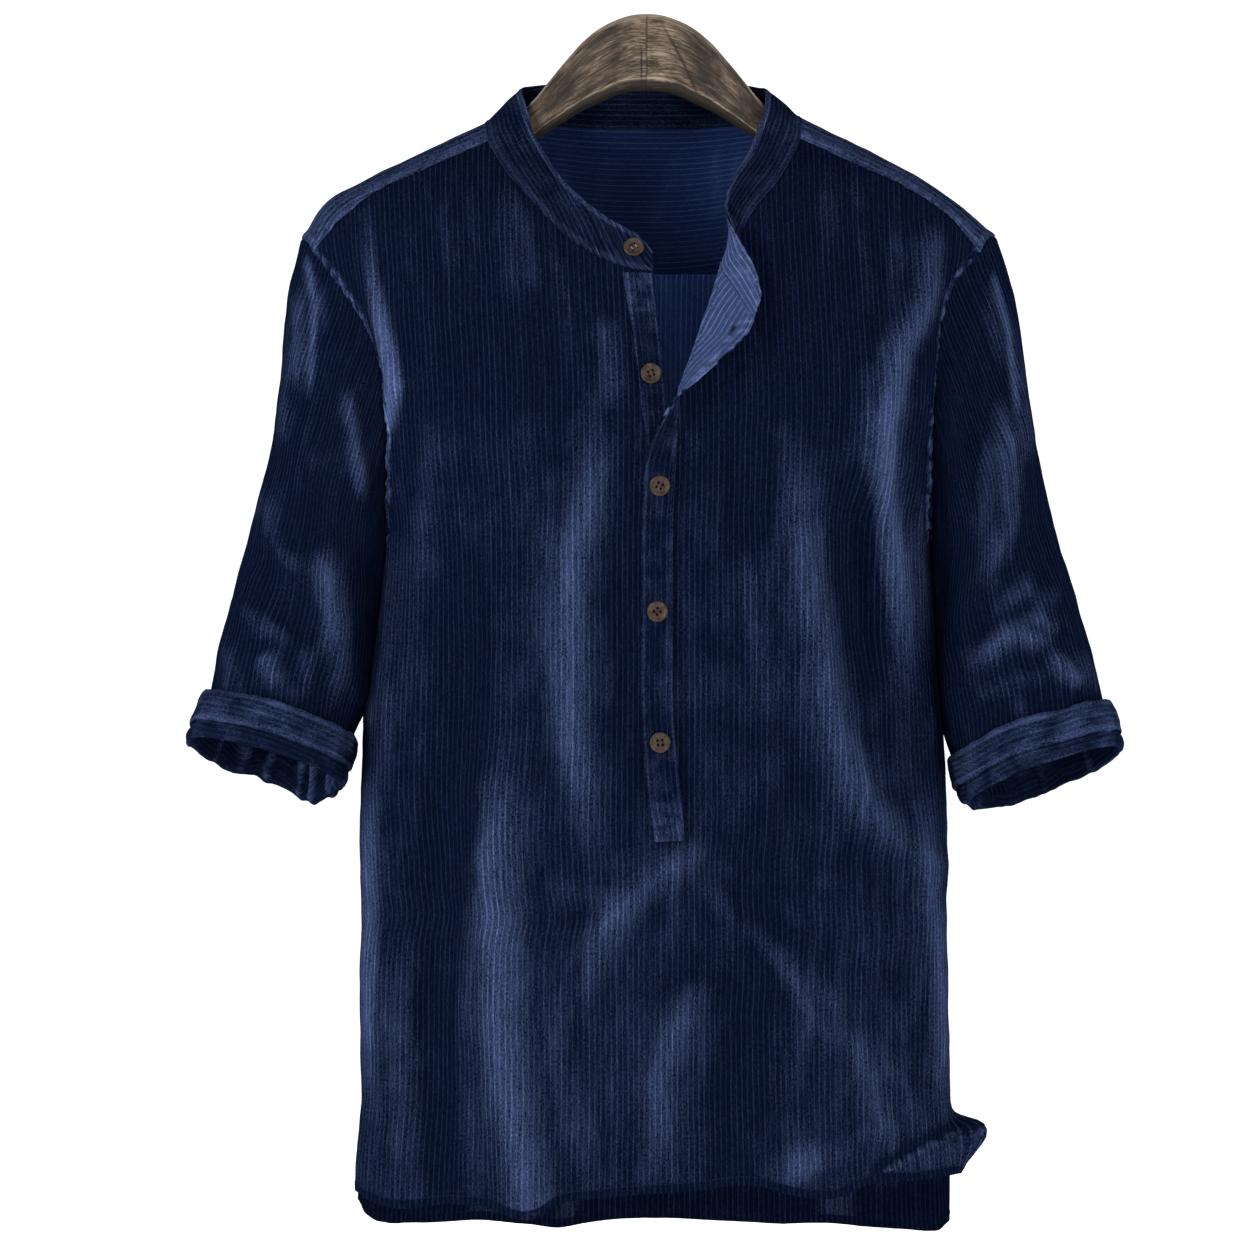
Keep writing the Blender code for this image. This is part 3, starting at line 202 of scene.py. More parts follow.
def clothFinish(name, ground, groundWornAndLit, line, lineWornAndLit, contrast):
    finish = Finish(name)
    place, worn, width = finish.cutMap(), finish.worn(), clothLook["lineWidth"]
    u = finish.add("ShaderNodeSeparateXYZ", {}, {0: place})
    sway = finish.noise(place, (60, 18, 0)) - 0.5
    phase = u / clothLook["pitch"] + sway * 0.3
    number, share = phase.join("FLOOR", phase), phase.join("FRACT", phase)
    far = share.join("ABSOLUTE", share - 0.5)
    stripe = 1.0 - finish.spread(far, width * 0.25, width)
    each = finish.add("ShaderNodeTexWhiteNoise", {"noise_dimensions": "1D"}, {"W": number})
    flecks = finish.noise(place, (900, 260, 0), 3.0, 0.65)
    slubs = finish.noise(place, (1500, 90, 0))
    # wash fading and painted highlight run in streaks along the stripes and follow how proud the cloth
    # stands
    streaks = finish.noise(place, (150, 16, 0), 4.0, 0.66) - 0.5
    fineStreaks = finish.noise(place, (620, 70, 0), 3.0, 0.65) - 0.5
    grain = finish.noise(place, (1300, 600, 0)) - 0.5
    between = finish.spread(far, 0.14, 0.40)
    stripe = stripe * (0.45 + each * 0.55) * finish.spread(flecks, 0.20, 0.55)
    swing = streaks * 1.8 + fineStreaks * 1.6 + grain * 3.2 + 0.06 - between * 0.14
    swing = swing * (0.06 + worn * (1.0 - worn) * 1.4)
    wearAndLight = worn.join("ADD", worn, swing, use_clamp=True)
    speck = finish.spread(flecks, 0.42, 0.74) * 0.20 + finish.spread(slubs, 0.42, 0.75) * 0.14
    lines = finish.mix(wearAndLight, line, lineWornAndLit)
    base = finish.mix(speck, finish.mix(wearAndLight, ground, groundWornAndLit), lines)
    weave = finish.noise(place, (2300, 1500, 0), 1.0)
    return finish.done({"Base Color": finish.mix(stripe * contrast, base, lines),
                        "Roughness": clothLook["rough"], "Specular IOR Level": 0.0},
                       stripe * 0.5 + flecks * 0.5 + weave * 0.3, 0.5, 0.00028)


def threadFinish(name, colour):
    finish = Finish(name)
    twist = finish.noise(finish.objectPlace(), 2600.0, 1.0)
    return finish.done({"Base Color": finish.mix(twist, [c * 0.55 for c in colour], colour),
                        "Roughness": 0.85, "Specular IOR Level": 0.08}, twist, 0.4, 0.0001)


hornLook = {"dark": (0.014, 0.009, 0.006), "light": (0.062, 0.038, 0.024), "rough": 0.45}


def hornFinish():
    finish = Finish("brownHorn")
    place = finish.objectPlace()
    cloud = finish.noise(place, 260.0, 4.0, 0.6)
    grain = finish.noise(place, (1500.0, 1500.0, 375.0))
    share = finish.spread(cloud * 0.7 + grain * 0.3, 0.34, 0.66)
    return finish.done({"Base Color": finish.mix(share, hornLook["dark"], hornLook["light"]),
                        "Roughness": finish.spread(grain, 0.2, 0.9) * 0.2 + hornLook["rough"],
                        "Specular IOR Level": 0.25}, grain, 0.25, 0.0001)


woodLook = {
    "rough": 0.62, "dark": (0.020, 0.015, 0.011), "middle": (0.085, 0.060, 0.043),
    "light": (0.215, 0.165, 0.118), "bleached": (0.36, 0.29, 0.21),
}


def woodFinish():
    # The map runs along the arm in u and round it in v, in metres
    finish = Finish("oldWood")
    place = finish.cutMap()
    sway = finish.add("ShaderNodeCombineXYZ", {}, {1: finish.noise(place, (16, 60, 0))})
    bent = finish.add("ShaderNodeMix", {"data_type": "VECTOR", "clamp_factor": False},
                      {0: 0.012, 4: place, 5: sway}, 1)
    grain = finish.noise(bent, (70, 900, 0), 5.0, 0.62)
    fine = finish.noise(bent, (260, 3600, 0), 3.0, 0.6)
    patches = finish.noise(place, (38, 120, 0), 3.0)
    pores = finish.noise(bent, (180, 2200, 0))
    share = grain * 0.55 + fine * 0.30 + patches * 0.45 - 0.66
    # lighter where the wear and painted light value is high
    share = share * 1.75 + finish.worn() * 0.28 + 0.45
    stops = zip((0.30, 0.48, 0.66, 0.90), ("dark", "middle", "light", "bleached"))
    tone = finish.add("ShaderNodeValToRGB", {"stops": [(at, woodLook[c]) for at, c in stops]},
                      {0: share})
    crack = finish.spread(pores, 0.57, 0.68)
    return finish.done({"Base Color": finish.mix(crack * 0.7, tone, woodLook["dark"]),
                        "Roughness": woodLook["rough"] + fine * 0.25, "Specular IOR Level": 0.3},
                       grain * 0.6 + fine * 0.35 - crack * 0.8, 0.7, 0.0006)


def floorFinish():
    finish = Finish("paleFloor")
    cloud = finish.noise(finish.objectPlace(), 3.0)
    return finish.done({"Base Color": finish.mix(cloud, [0.90] * 3, [0.93] * 3),
                        "Roughness": 0.9, "Emission Color": [1.0] * 3,
                        "Emission Strength": studio["floorGlow"]})


def makeFloor():
    # A flat floor that rises behind the shirt in one bend
    low, depth, bend = studio["floorHeight"], studio["floorDepth"], studio["bend"]
    path = [(-studio["floorReach"], low), (depth - bend, low)]
    path += [(depth - bend + bend * math.sin(a), low + bend * (1 - math.cos(a)))
             for a in np.linspace(0, math.pi / 2, 24)[1:]]
    path.append((depth, studio["wallTop"]))
    count = len(path)
    points = [(x, y, z) for x in (-studio["floorReach"], studio["floorReach"]) for y, z in path]
    mesh = bpy.data.meshes.new("floor")
    mesh.from_pydata(points, [], [(count + k, count + k + 1, k + 1, k) for k in range(count - 1)])
    mesh.shade_smooth()
    mesh.materials.append(floorFinish())
    placed("floor", mesh)


# ---- curves and surfaces, in millimetres

def smooth(at, stations, values):
    # Cubic curve through the values at rising stations, held beyond its ends
    stations, values = np.asarray(stations, float), np.asarray(values, float)
    slopes = np.gradient(values, stations)
    at = np.clip(at, stations[0], stations[-1])
    i = np.clip(np.searchsorted(stations, at, side="right") - 1, 0, len(stations) - 2)
    span = stations[i + 1] - stations[i]
    s = (at - stations[i]) / span
    start = values[i] * (1 + 2 * s) * (1 - s) ** 2 + slopes[i] * span * s * (1 - s) ** 2
    end = values[i + 1] * s * s * (3 - 2 * s) + slopes[i + 1] * span * s * s * (s - 1)
    return start + end


def curve(at, stations, table):
    return np.stack([smooth(at, stations, values) for values in np.array(table, float).T], -1)


def ease(value, low, high):
    s = np.clip((np.asarray(value, float) - low) / (high - low), 0, 1)
    return s * s * (3 - 2 * s)


def bell(value, middle, wide):
    return np.exp(-((value - middle) / wide) ** 2)


def evened(rows, times):
    for _ in range(times):
        rows[1:-1] = (rows[:-2] + 2 * rows[1:-1] + rows[2:]) / 4
    return rows


def unit(vectors):
    length = np.linalg.norm(vectors, axis=-1, keepdims=True)
    return vectors / np.maximum(length, 1e-9)


def runOf(points, axis=0):
    # Lengths from the start of a line, or of each line of a grid
    steps = np.linalg.norm(np.diff(np.asarray(points, float), axis=axis), axis=-1)
    return np.insert(np.cumsum(steps, axis=axis), 0, 0, axis=axis)


def along(points, steps):
    # Evenly spread points on the smooth curve through a few points
    run = runOf(points)
    return curve(np.linspace(0, run[-1], steps + 1), run, points)


def straight(points, at, run=None):
    # Points on a polyline at given lengths from its start
    run = runOf(points) if run is None else run
    return np.stack([np.interp(at, run, values) for values in np.asarray(points).T], -1)


def fromGrid(grid, rows, columns):
    # Values of a grid at fractions of its rows and columns
    i, j = (np.clip(at.astype(int), 0, count - 2)
            for at, count in zip((rows, columns), grid.shape))
    a, b = (part.reshape(part.shape + (1,) * (grid.ndim - 2)) for part in (rows - i, columns - j))
    return ((grid[i, j] * (1 - b) + grid[i, j + 1] * b) * (1 - a)
            + (grid[i + 1, j] * (1 - b) + grid[i + 1, j + 1] * b) * a)


def closedUp(grid):
    return np.concatenate([grid, grid[:, :1]], axis=1)


def cornersOf(grid):
    # The four corners of each cell of a grid
    return np.stack([grid[:-1, :-1], grid[:-1, 1:], grid[1:, 1:], grid[1:, :-1]], 2)


def sectionPoint(sections, t, z):
    table = np.array(sorted(sections), float).T
    centre, left, right, edgeY, middleY, wrapLeft, wrapRight = (
        smooth(z, table[0], values) for values in table[1:])
    wrap = np.radians(np.where(t < 0, wrapLeft, wrapRight))
    half = np.where(t < 0, centre - left, right - centre)
    x = centre + half * np.sin(t * wrap) / np.sin(wrap)
    y = middleY + (edgeY - middleY) * (1 - np.cos(t * wrap)) / (1 - np.cos(wrap))
    return np.stack([x, y, z + 0 * x], -1)


def placeAcross(sections, x, z):
    x, z = np.broadcast_arrays(np.asarray(x, float), np.asarray(z, float))
    low, high = np.full_like(x, -1.0), np.full_like(x, 1.0)
    for _ in range(32):
        middle = (low + high) / 2
        leftOf = sectionPoint(sections, middle, z)[..., 0] < x
        low, high = np.where(leftOf, middle, low), np.where(leftOf, high, middle)
    return (low + high) / 2


def foldHeight(folds, x, z):
    # Each fold is a path of (x, z), its half width and height, and its share of the height at
    # both ends, if it doesn't run out there
    total = np.zeros_like(x)
    for path, halfWidth, height, *ends in folds:
        startShare, endShare = ends or (0, 0)
        path, starts = np.asarray(path, float), runOf(path)
        nearest, share = np.full_like(x, 1e9), np.zeros_like(x)
        for k, step in enumerate(np.diff(starts)):
            way = (path[k + 1] - path[k]) / step
            run = np.clip((x - path[k, 0]) * way[0] + (z - path[k, 1]) * way[1], 0, step)
            gap = np.hypot(x - path[k, 0] - run * way[0], z - path[k, 1] - run * way[1])
            closer = gap < nearest
            nearest = np.where(closer, gap, nearest)
            share = np.where(closer, (starts[k] + run) / starts[-1], share)
        taper = startShare + (1 - startShare) * ease(share, 0, 0.3)
        taper = taper * (endShare + (1 - endShare) * ease(1 - share, 0, 0.3))
        total += height * taper * bell(nearest, 0, halfWidth)
    return total


def rumple(points, *waves):
    # Soft unevenness of washed cloth: each wave's size, seed and height
    total = 0
    for size, seed, height in waves:
        values = [noise.noise(Vector(p)) for p in points.reshape(-1, 3) / size + seed]
        total = total + np.array(values).reshape(points.shape[:-1]) * height
    return total


def ripples(points, seed):
    # Fine upright waves of hanging cloth
    return (rumple(points * (1, 1, 0.10), (8.5, seed, 1))
            + rumple(points * (1, 1, 0.16), (4.6, seed, 0.4)))


def gridNormals(points, closed=False):
    wide = np.concatenate([points[:, -1:], points, points[:, :1]], axis=1) if closed else points
    across = np.gradient(wide, axis=1)[:, 1:-1] if closed else np.gradient(wide, axis=1)
    return unit(np.cross(across, np.gradient(points, axis=0)))


def panelPoints(piece, t, z):
    # Points of a panel with its folds, their x before them, and the creases' height
    t, z = np.broadcast_arrays(np.asarray(t, float), np.asarray(z, float))
    sections, step = piece["sections"], 0.004
    point = sectionPoint(sections, t, z)
    across = sectionPoint(sections, t + step, z) - sectionPoint(sections, t - step, z)
    up = sectionPoint(sections, t, z + 1) - sectionPoint(sections, t, z - 1)
    normal = unit(np.cross(across, up)) * piece["outward"]
    big = foldHeight(piece["folds"], point[..., 0], z) * ease(1 - np.abs(t), 0, 0.14)
    small = foldHeight(piece["creases"], point[..., 0], z) * ease(1 - np.abs(t), 0, 0.03)
    return point + normal * (big + small)[..., None], point[..., 0], small


def onPanel(piece, xz):
    # Points of a panel that are seen at x and z from the front
    x, z = np.asarray(xz, float).T
    return panelPoints(piece, placeAcross(piece["sections"], x, z), z)[0]


def foldFadeAndShading(piece, x, z):
    # The folds are faded, with painted highlight or shade, on a strip a little narrower than they are and
    # moved 4 mm to the right
    worn = [(path, halfWidth * 0.8, fade, *ends)
            for (path, halfWidth, _, *ends), fade in zip(piece["folds"], piece["fades"])]
    return foldHeight(worn, x - 4, z)


# ---- cloth pieces as thin shells

def meshThing(name, vertices, faces, finish, sharp=40, uv=None, worn=None):
    mesh = bpy.data.meshes.new(name)
    mesh.from_pydata((np.asarray(vertices) * mm).tolist(), [], faces)
    if uv is not None:
        mesh.uv_layers.new(name="cut").data.foreach_set("uv", (np.asarray(uv) * mm).ravel())
        mesh.attributes.new("worn", "FLOAT", "POINT").data.foreach_set("value", worn)
    mesh.shade_smooth()
    mesh.set_sharp_from_angle(angle=math.radians(sharp))
    mesh.materials.append(finish)
    thing = placed(name, mesh)
    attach(thing, "root")
    return thing


class Cloth:
    # A grid of middle points with its map and its wear and painted light value, from which the shell is
    # made
    def __init__(self, name, points, uv, worn, wall=0.9, closed=False, flip=False, cells=None):
        self.name, self.points, self.uv, self.worn = name, np.array(points, float), uv, worn
        self.wall, self.closed, self.flip, self.cells = wall, closed, flip, cells
        self.facing = None                            # normals given by the maker of the grid

    def normals(self):
        if self.facing is not None:
            return self.facing
        return gridNormals(self.points, self.closed) * (-1.0 if self.flip else 1.0)

    def raised(self, amount):
        self.points = self.points + self.normals() * np.asarray(amount)[..., None]

    def build(self, finish, other, turned=None):
        # turned is the first row and column whose inner side has the other finish
        count = self.worn.size
        index = np.arange(count).reshape(self.worn.shape)
        index = closedUp(index) if self.closed else index
        cells = np.ones(np.array(index.shape) - 1, bool) if self.cells is None else self.cells
        quads, maps = (cornersOf(grid)[cells][:, ::-1 if self.flip else 1]
                       for grid in (index, self.uv))
        offset = self.normals() * self.wall / 2
        vertices = np.concatenate([self.points + offset, self.points - offset]).reshape(-1, 3)
        edges = {}
        for q, m in zip(quads.tolist(), maps.tolist()):
            for k in range(4):
                edges[(q[k], q[(k + 1) % 4])] = (m[k], m[(k + 1) % 4])
        rim, rimMaps = [], []
        for (a, b), (ua, ub) in edges.items():
            if (b, a) not in edges:
                rim.append((b, a, a + count, b + count))
                rimMaps.append((ub, ua, ua, ub))
        faces = np.concatenate([quads, quads[:, ::-1] + count, rim])
        used, faces = np.unique(faces, return_inverse=True)
        thing = meshThing(self.name, vertices[used], faces.reshape(-1, 4).tolist(), finish, 60,
                          np.concatenate([maps, maps[:, ::-1], rimMaps]),
                          np.tile(np.clip(self.worn.ravel(), 0, 1), 2)[used])
        if turned:
            thing.data.materials.append(other)
            kind, (i, j) = np.zeros(len(thing.data.polygons), int), np.nonzero(cells)
            kind[len(quads):2 * len(quads)] = (i >= turned[0]) & (j >= turned[1])
            thing.data.polygons.foreach_set("material_index", kind)
        self.thing = thing

    def outer(self, side):
        # Points and normals of the shell's outer side, or of its inner one if side is -1
        return self.points + self.normals() * self.wall / 2 * side, self.normals() * side

    def inset(self, edge, amount, side=1.0, span=(0, 1)):
        # The line at a distance from one edge of the grid, between two shares of its length
        grid = np.concatenate(self.outer(side), axis=-1)
        if edge in ("first", "last"):                 # first or last column
            grid = grid.swapaxes(0, 1)
        if edge in ("last", "top"):
            grid = grid[::-1]
        low, high = (int(round(s * (grid.shape[1] - 1))) for s in span)
        grid = grid[:stitching["reach"]]
        run = runOf(grid[..., :3])
        line = np.array([straight(grid[:, k], amount, run[:, k]) for k in range(low, high + 1)])
        return line[:, :3], unit(line[:, 3:])

    def trace(self, rows, columns, side=1.0):
        # Points and normals at places given in fractions of rows and columns
        at = np.asarray(rows, float), np.asarray(columns, float)
        points, normals = (fromGrid(grid, *at) for grid in self.outer(side))
        return points, unit(normals)


# ---- stitching

stitching = {
    "long": 2.3, "gap": 0.75, "thick": 0.24, "sides": 5,
    # a stitch dips into the cloth at both ends: share of its length, thickness and height
    "profile": ((0.0, 0.35, -0.5), (0.16, 0.9, 0.5), (0.5, 1.0, 0.9), (0.84, 0.9, 0.5),
                (1.0, 0.35, -0.5)),
    "reach": 14,               # rows of a grid in which a line along its edge is looked for
}


class Thread:
    # Collects the stitches of one piece of sewing into one mesh
    def __init__(self, name):
        self.name, self.vertices, self.faces = name, [], []

    def bar(self, a, b, up, thick, lift=0.6):
        way = unit(b - a)
        side = unit(np.cross(way, up))
        rise = np.cross(side, way)
        first, sides = len(self.vertices), stitching["sides"]
        for share, size, height in stitching["profile"]:
            centre = a + (b - a) * share + rise * height * thick * lift
            for angle in 2 * math.pi * np.arange(sides) / sides:
                self.vertices.append(centre + (side * math.cos(angle)
                                               + rise * math.sin(angle)) * thick * size)
        for ring in range(4):
            for k in range(sides):
                low = first + ring * sides
                m, high = (k + 1) % sides, low + sides
                self.faces.append((low + m, low + k, high + k, high + m))
        self.faces.append(tuple(first + k for k in range(sides)))
        self.faces.append(tuple(first + 4 * sides + k for k in range(sides))[::-1])

    def line(self, points, normals):
        long, run = stitching["long"], runOf(points)
        count = int(run[-1] / (long + stitching["gap"]))
        starts = np.arange(count) * (run[-1] / count)
        up = unit(straight(normals, starts + long / 2))
        for a, b, above in zip(straight(points, starts), straight(points, starts + long), up):
            self.bar(a, b, above, stitching["thick"])

    def build(self, finish):
        thing = meshThing(self.name, self.vertices, self.faces, finish, 80)
        return thing


makeCamera()
makeLamps()
makeFloor()
navyThread = threadFinish("navyThread", (0.012, 0.019, 0.050))
darkThread = threadFinish("darkThread", (0.010, 0.008, 0.010))
paleThread = threadFinish("paleThread", (0.30, 0.33, 0.38))
print("stage: camera, light and finishes")

# ---- the front and the back

frontPiece = {
    "outward": 1, "spacing": 2.6, "creaseShading": 0.03,
    "waves": [(26, 3.1, 0.8), (11, 7.7, 0.35)], "rippleSeed": 5.5,
    # height, centre, left, right, edge's y, middle's y, wrap on the left and on the right
    "sections": [
        (-70, 3, -240, 240, 38, -10, 60, 60), (-84, 3, -235, 236, 25, -25, 60, 60),
        (-101, 3, -230, 232, 12, -43, 60, 60), (-125, 3, -222, 224, 0, -60, 62, 62),
        (-152, 4, -212, 212, -10, -70, 66, 66), (-177, 5, -193, 193, -20, -77, 74, 82),
        (-202, 6, -177, 185, -27, -81, 84, 90), (-228, 7, -166, 181, -31, -84, 90, 96),
        (-260, 8, -163, 180, -28, -86, 90, 92), (-300, 8, -165, 180, -16, -86, 90, 91),
        (-335, 7, -168, 182, 0, -85, 88, 89), (-400, 7, -173, 185, 0, -82, 90, 90),
        (-450, 7, -179, 188, 0, -80, 94, 94), (-503, 7, -180, 189, 0, -78, 98, 98),
        (-567, 7, -180, 189, 0, -74, 98, 98), (-631, 7, -181, 190, 0, -70, 98, 98),
        (-700, 7, -181, 192, 0, -67, 97, 97), (-733, 7, -184, 194, -6, -65, 95, 95),
        (-790, 7, -184, 194, -9, -64, 95, 95)],
    # path of (x, z), half width, height, share of the height at the start and the end
    "folds": [
        ([(-182, -128), (-176, -175), (-166, -215), (-161, -240), (-168, -270), (-174, -305),
          (-177, -350), (-179, -400), (-180, -450)], 4.6, 5, 0.1, 0.3),
        ([(-94, -100), (-89, -140), (-80, -200)], 11, 5, 0.1, 0), ([(-32, -190), (-21, -262)], 11, 4),
        ([(-36, -245), (-36, -296), (-48, -345), (-52, -398), (-51, -445), (-42, -508), (-30, -540)], 13,
          10, 0.1, 0.1),
        ([(-88, -448), (-94, -495), (-97, -560), (-94, -622), (-88, -685), (-75, -762)], 16, 13, 0, 0.9),
        ([(12, -525), (22, -532), (2, -550), (-22, -575), (-28, -600)], 11, 8, 0.1, 0.1),
        ([(34, -606), (15, -642), (3, -674), (6, -730)], 11, 6, 0, 0.3),
        ([(86, -250), (87, -298), (97, -372), (110, -448), (132, -504), (176, -545)], 14, 12, 0, 0.4),
        ([(176, -152), (171, -189), (153, -220), (144, -264), (143, -307), (150, -350), (156, -400),
          (160, -438)], 12, 8, 0.4, 0), ([(122, -640), (138, -686), (150, -724)], 8, 5, 0, 0.3),
        ([(84, -736), (104, -718)], 12, 5, 0.5, 0.2),
        ([(-179, -475), (-180, -560), (-181, -640), (-180, -700)], 7, 0, 0, 0.2),
        ([(172, -538), (181, -600), (184, -660), (183, -700)], 8, 2, 0.2, 0.2),
        ([(-12, -540), (-34, -585), (-44, -640)], 9, 3), ([(52, -560), (92, -618), (112, -668)], 8, 3),
        ([(-17, -300), (-16, -400), (-17, -500)], 9, -4, 0.2, 0.2),
        ([(36, -250), (60, -280), (64, -350)], 13, -6, 0.2, 0),
        ([(128, -280), (133, -360), (140, -440)], 12, -8),
        ([(-120, -300), (-118, -400), (-128, -500), (-135, -640), (-130, -755)], 18, -8, 0, 0.7),
        ([(60, -480), (64, -600), (50, -745)], 20, -7, 0, 0.6)],
    # how much each fold is faded and lit: painted highlight on its ridge, painted shade where negative
    "fades": [
        0.54, 0.07, 0.12, 0.27, 0.26, 0.15, 0.18, 0.21, 0.34, 0.19, 0.21, 0.3, 0.24, 0.12, 0.1, -0.1,
        -0.2, -0.2, -0.1, -0.1],
    "creases": [
        ([(-128, -112), (-125, -150), (-120, -180)], 6, 1.6, 0.4, 0),
        ([(-112, -106), (-108, -140), (-104, -165)], 5, 1.3, 0.4, 0),
        ([(-150, -122), (-146, -165), (-140, -205)], 6, 1.4, 0.3, 0),
        ([(-84, -112), (-74, -150), (-62, -200)], 5, 1.5, 0.4, 0),
        ([(-60, -145), (-52, -190), (-46, -240)], 6, 1.4, 0.3, 0),
        ([(112, -92), (114, -130), (110, -170)], 6, 1.6, 0.4, 0),
        ([(134, -103), (138, -150), (136, -190)], 6, 1.5, 0.3, 0),
        ([(158, -114), (158, -160), (152, -205)], 7, 1.6, 0.3, 0),
        ([(182, -130), (176, -175), (166, -215)], 7, 1.5, 0.3, 0),
        ([(-160, -232), (-168, -262), (-166, -300)], 5, 1.6),
        ([(-132, -250), (-140, -320), (-146, -390)], 6, 1.6),
        ([(-158, -350), (-166, -420), (-164, -500)], 7, 2),
        ([(-60, -300), (-66, -370), (-62, -440)], 7, 1.8),
        ([(10, -530), (40, -560), (80, -600), (110, -640)], 6, 1.8, 0.3, 0),
        ([(20, -528), (60, -548), (110, -590)], 5, 1.4, 0.3, 0),
        ([(0, -536), (-8, -560), (-40, -590), (-52, -612)], 5, 1.7, 0.3, 0),
        ([(14, -534), (18, -570), (8, -604)], 6, 1.6, 0.3, 0),
        ([(32, -532), (52, -575), (60, -620), (82, -668)], 7, 1.8, 0.2, 0),
        ([(-14, -560), (-40, -560), (-66, -548)], 6, 1.5),
        ([(40, -680), (66, -716), (74, -742)], 6, 1.4, 0, 0.4),
        ([(134, -640), (160, -680), (178, -720)], 6, 1.8, 0, 0.2),
        ([(96, -600), (120, -632), (128, -665)], 6, 1.6),
        ([(150, -700), (120, -724), (92, -738)], 6, 2, 0, 0.2),
        ([(170, -480), (176, -540), (168, -600)], 8, 2.2),
        ([(178, -300), (170, -340), (176, -400)], 6, 1.8),
        ([(60, -330), (70, -400), (84, -460)], 8, 1.6),
        ([(-110, -580), (-118, -650), (-112, -740)], 9, 2, 0, 0.5),
        ([(-60, -600), (-56, -660), (-40, -735)], 8, 1.8, 0, 0.5),
        ([(-150, -560), (-158, -640), (-152, -745)], 9, 1.8, 0, 0.6)],
    "leftShoulder": [(-100, -82), (-140, -101), (-174, -117), (-204, -142), (-212, -152)],
    "rightShoulder": [(97, -80), (128, -96), (162, -112), (192, -131), (212, -152)],
    "leftNeck": [
        (-100, -82), (-94, -94), (-85, -109), (-70, -126), (-55.5, -142), (-38, -155.5), (-18, -165.5),
        (-6, -169), (4, -170)],
    "foldLine": [(11, -262), (17.5, -246), (26.3, -226), (33.3, -205), (40, -184.5), (45, -169)],
    "rightNeck": [
        (45, -169), (56, -151), (62.8, -135.4), (70, -124.6), (80.5, -112), (91, -94), (97, -80)],
    "hem": [
        (-190, -744), (-178, -754), (-163, -759), (-130, -756.5), (-104, -756), (-70, -762), (-56, -754),
        (-33, -750.5), (-1, -747.5), (32, -745.5), (76, -744), (90, -748), (106, -751), (121, -751),
        (133, -746), (145, -742), (168, -742), (195, -740)],
    # the lower right corner, curled out: first place across, height, reach down and up, move
    "flare": (0.80, -718, (17, 11), (22, -14, 8)),
    # the turned hem's upper edge, and where it begins
    "strip": [(136, -741), (141, -738), (157, -730), (177, -720), (193, -715), (212, -711)],
    "stripStart": (139, 146),
    "armpit": -335, "vent": -700,
}

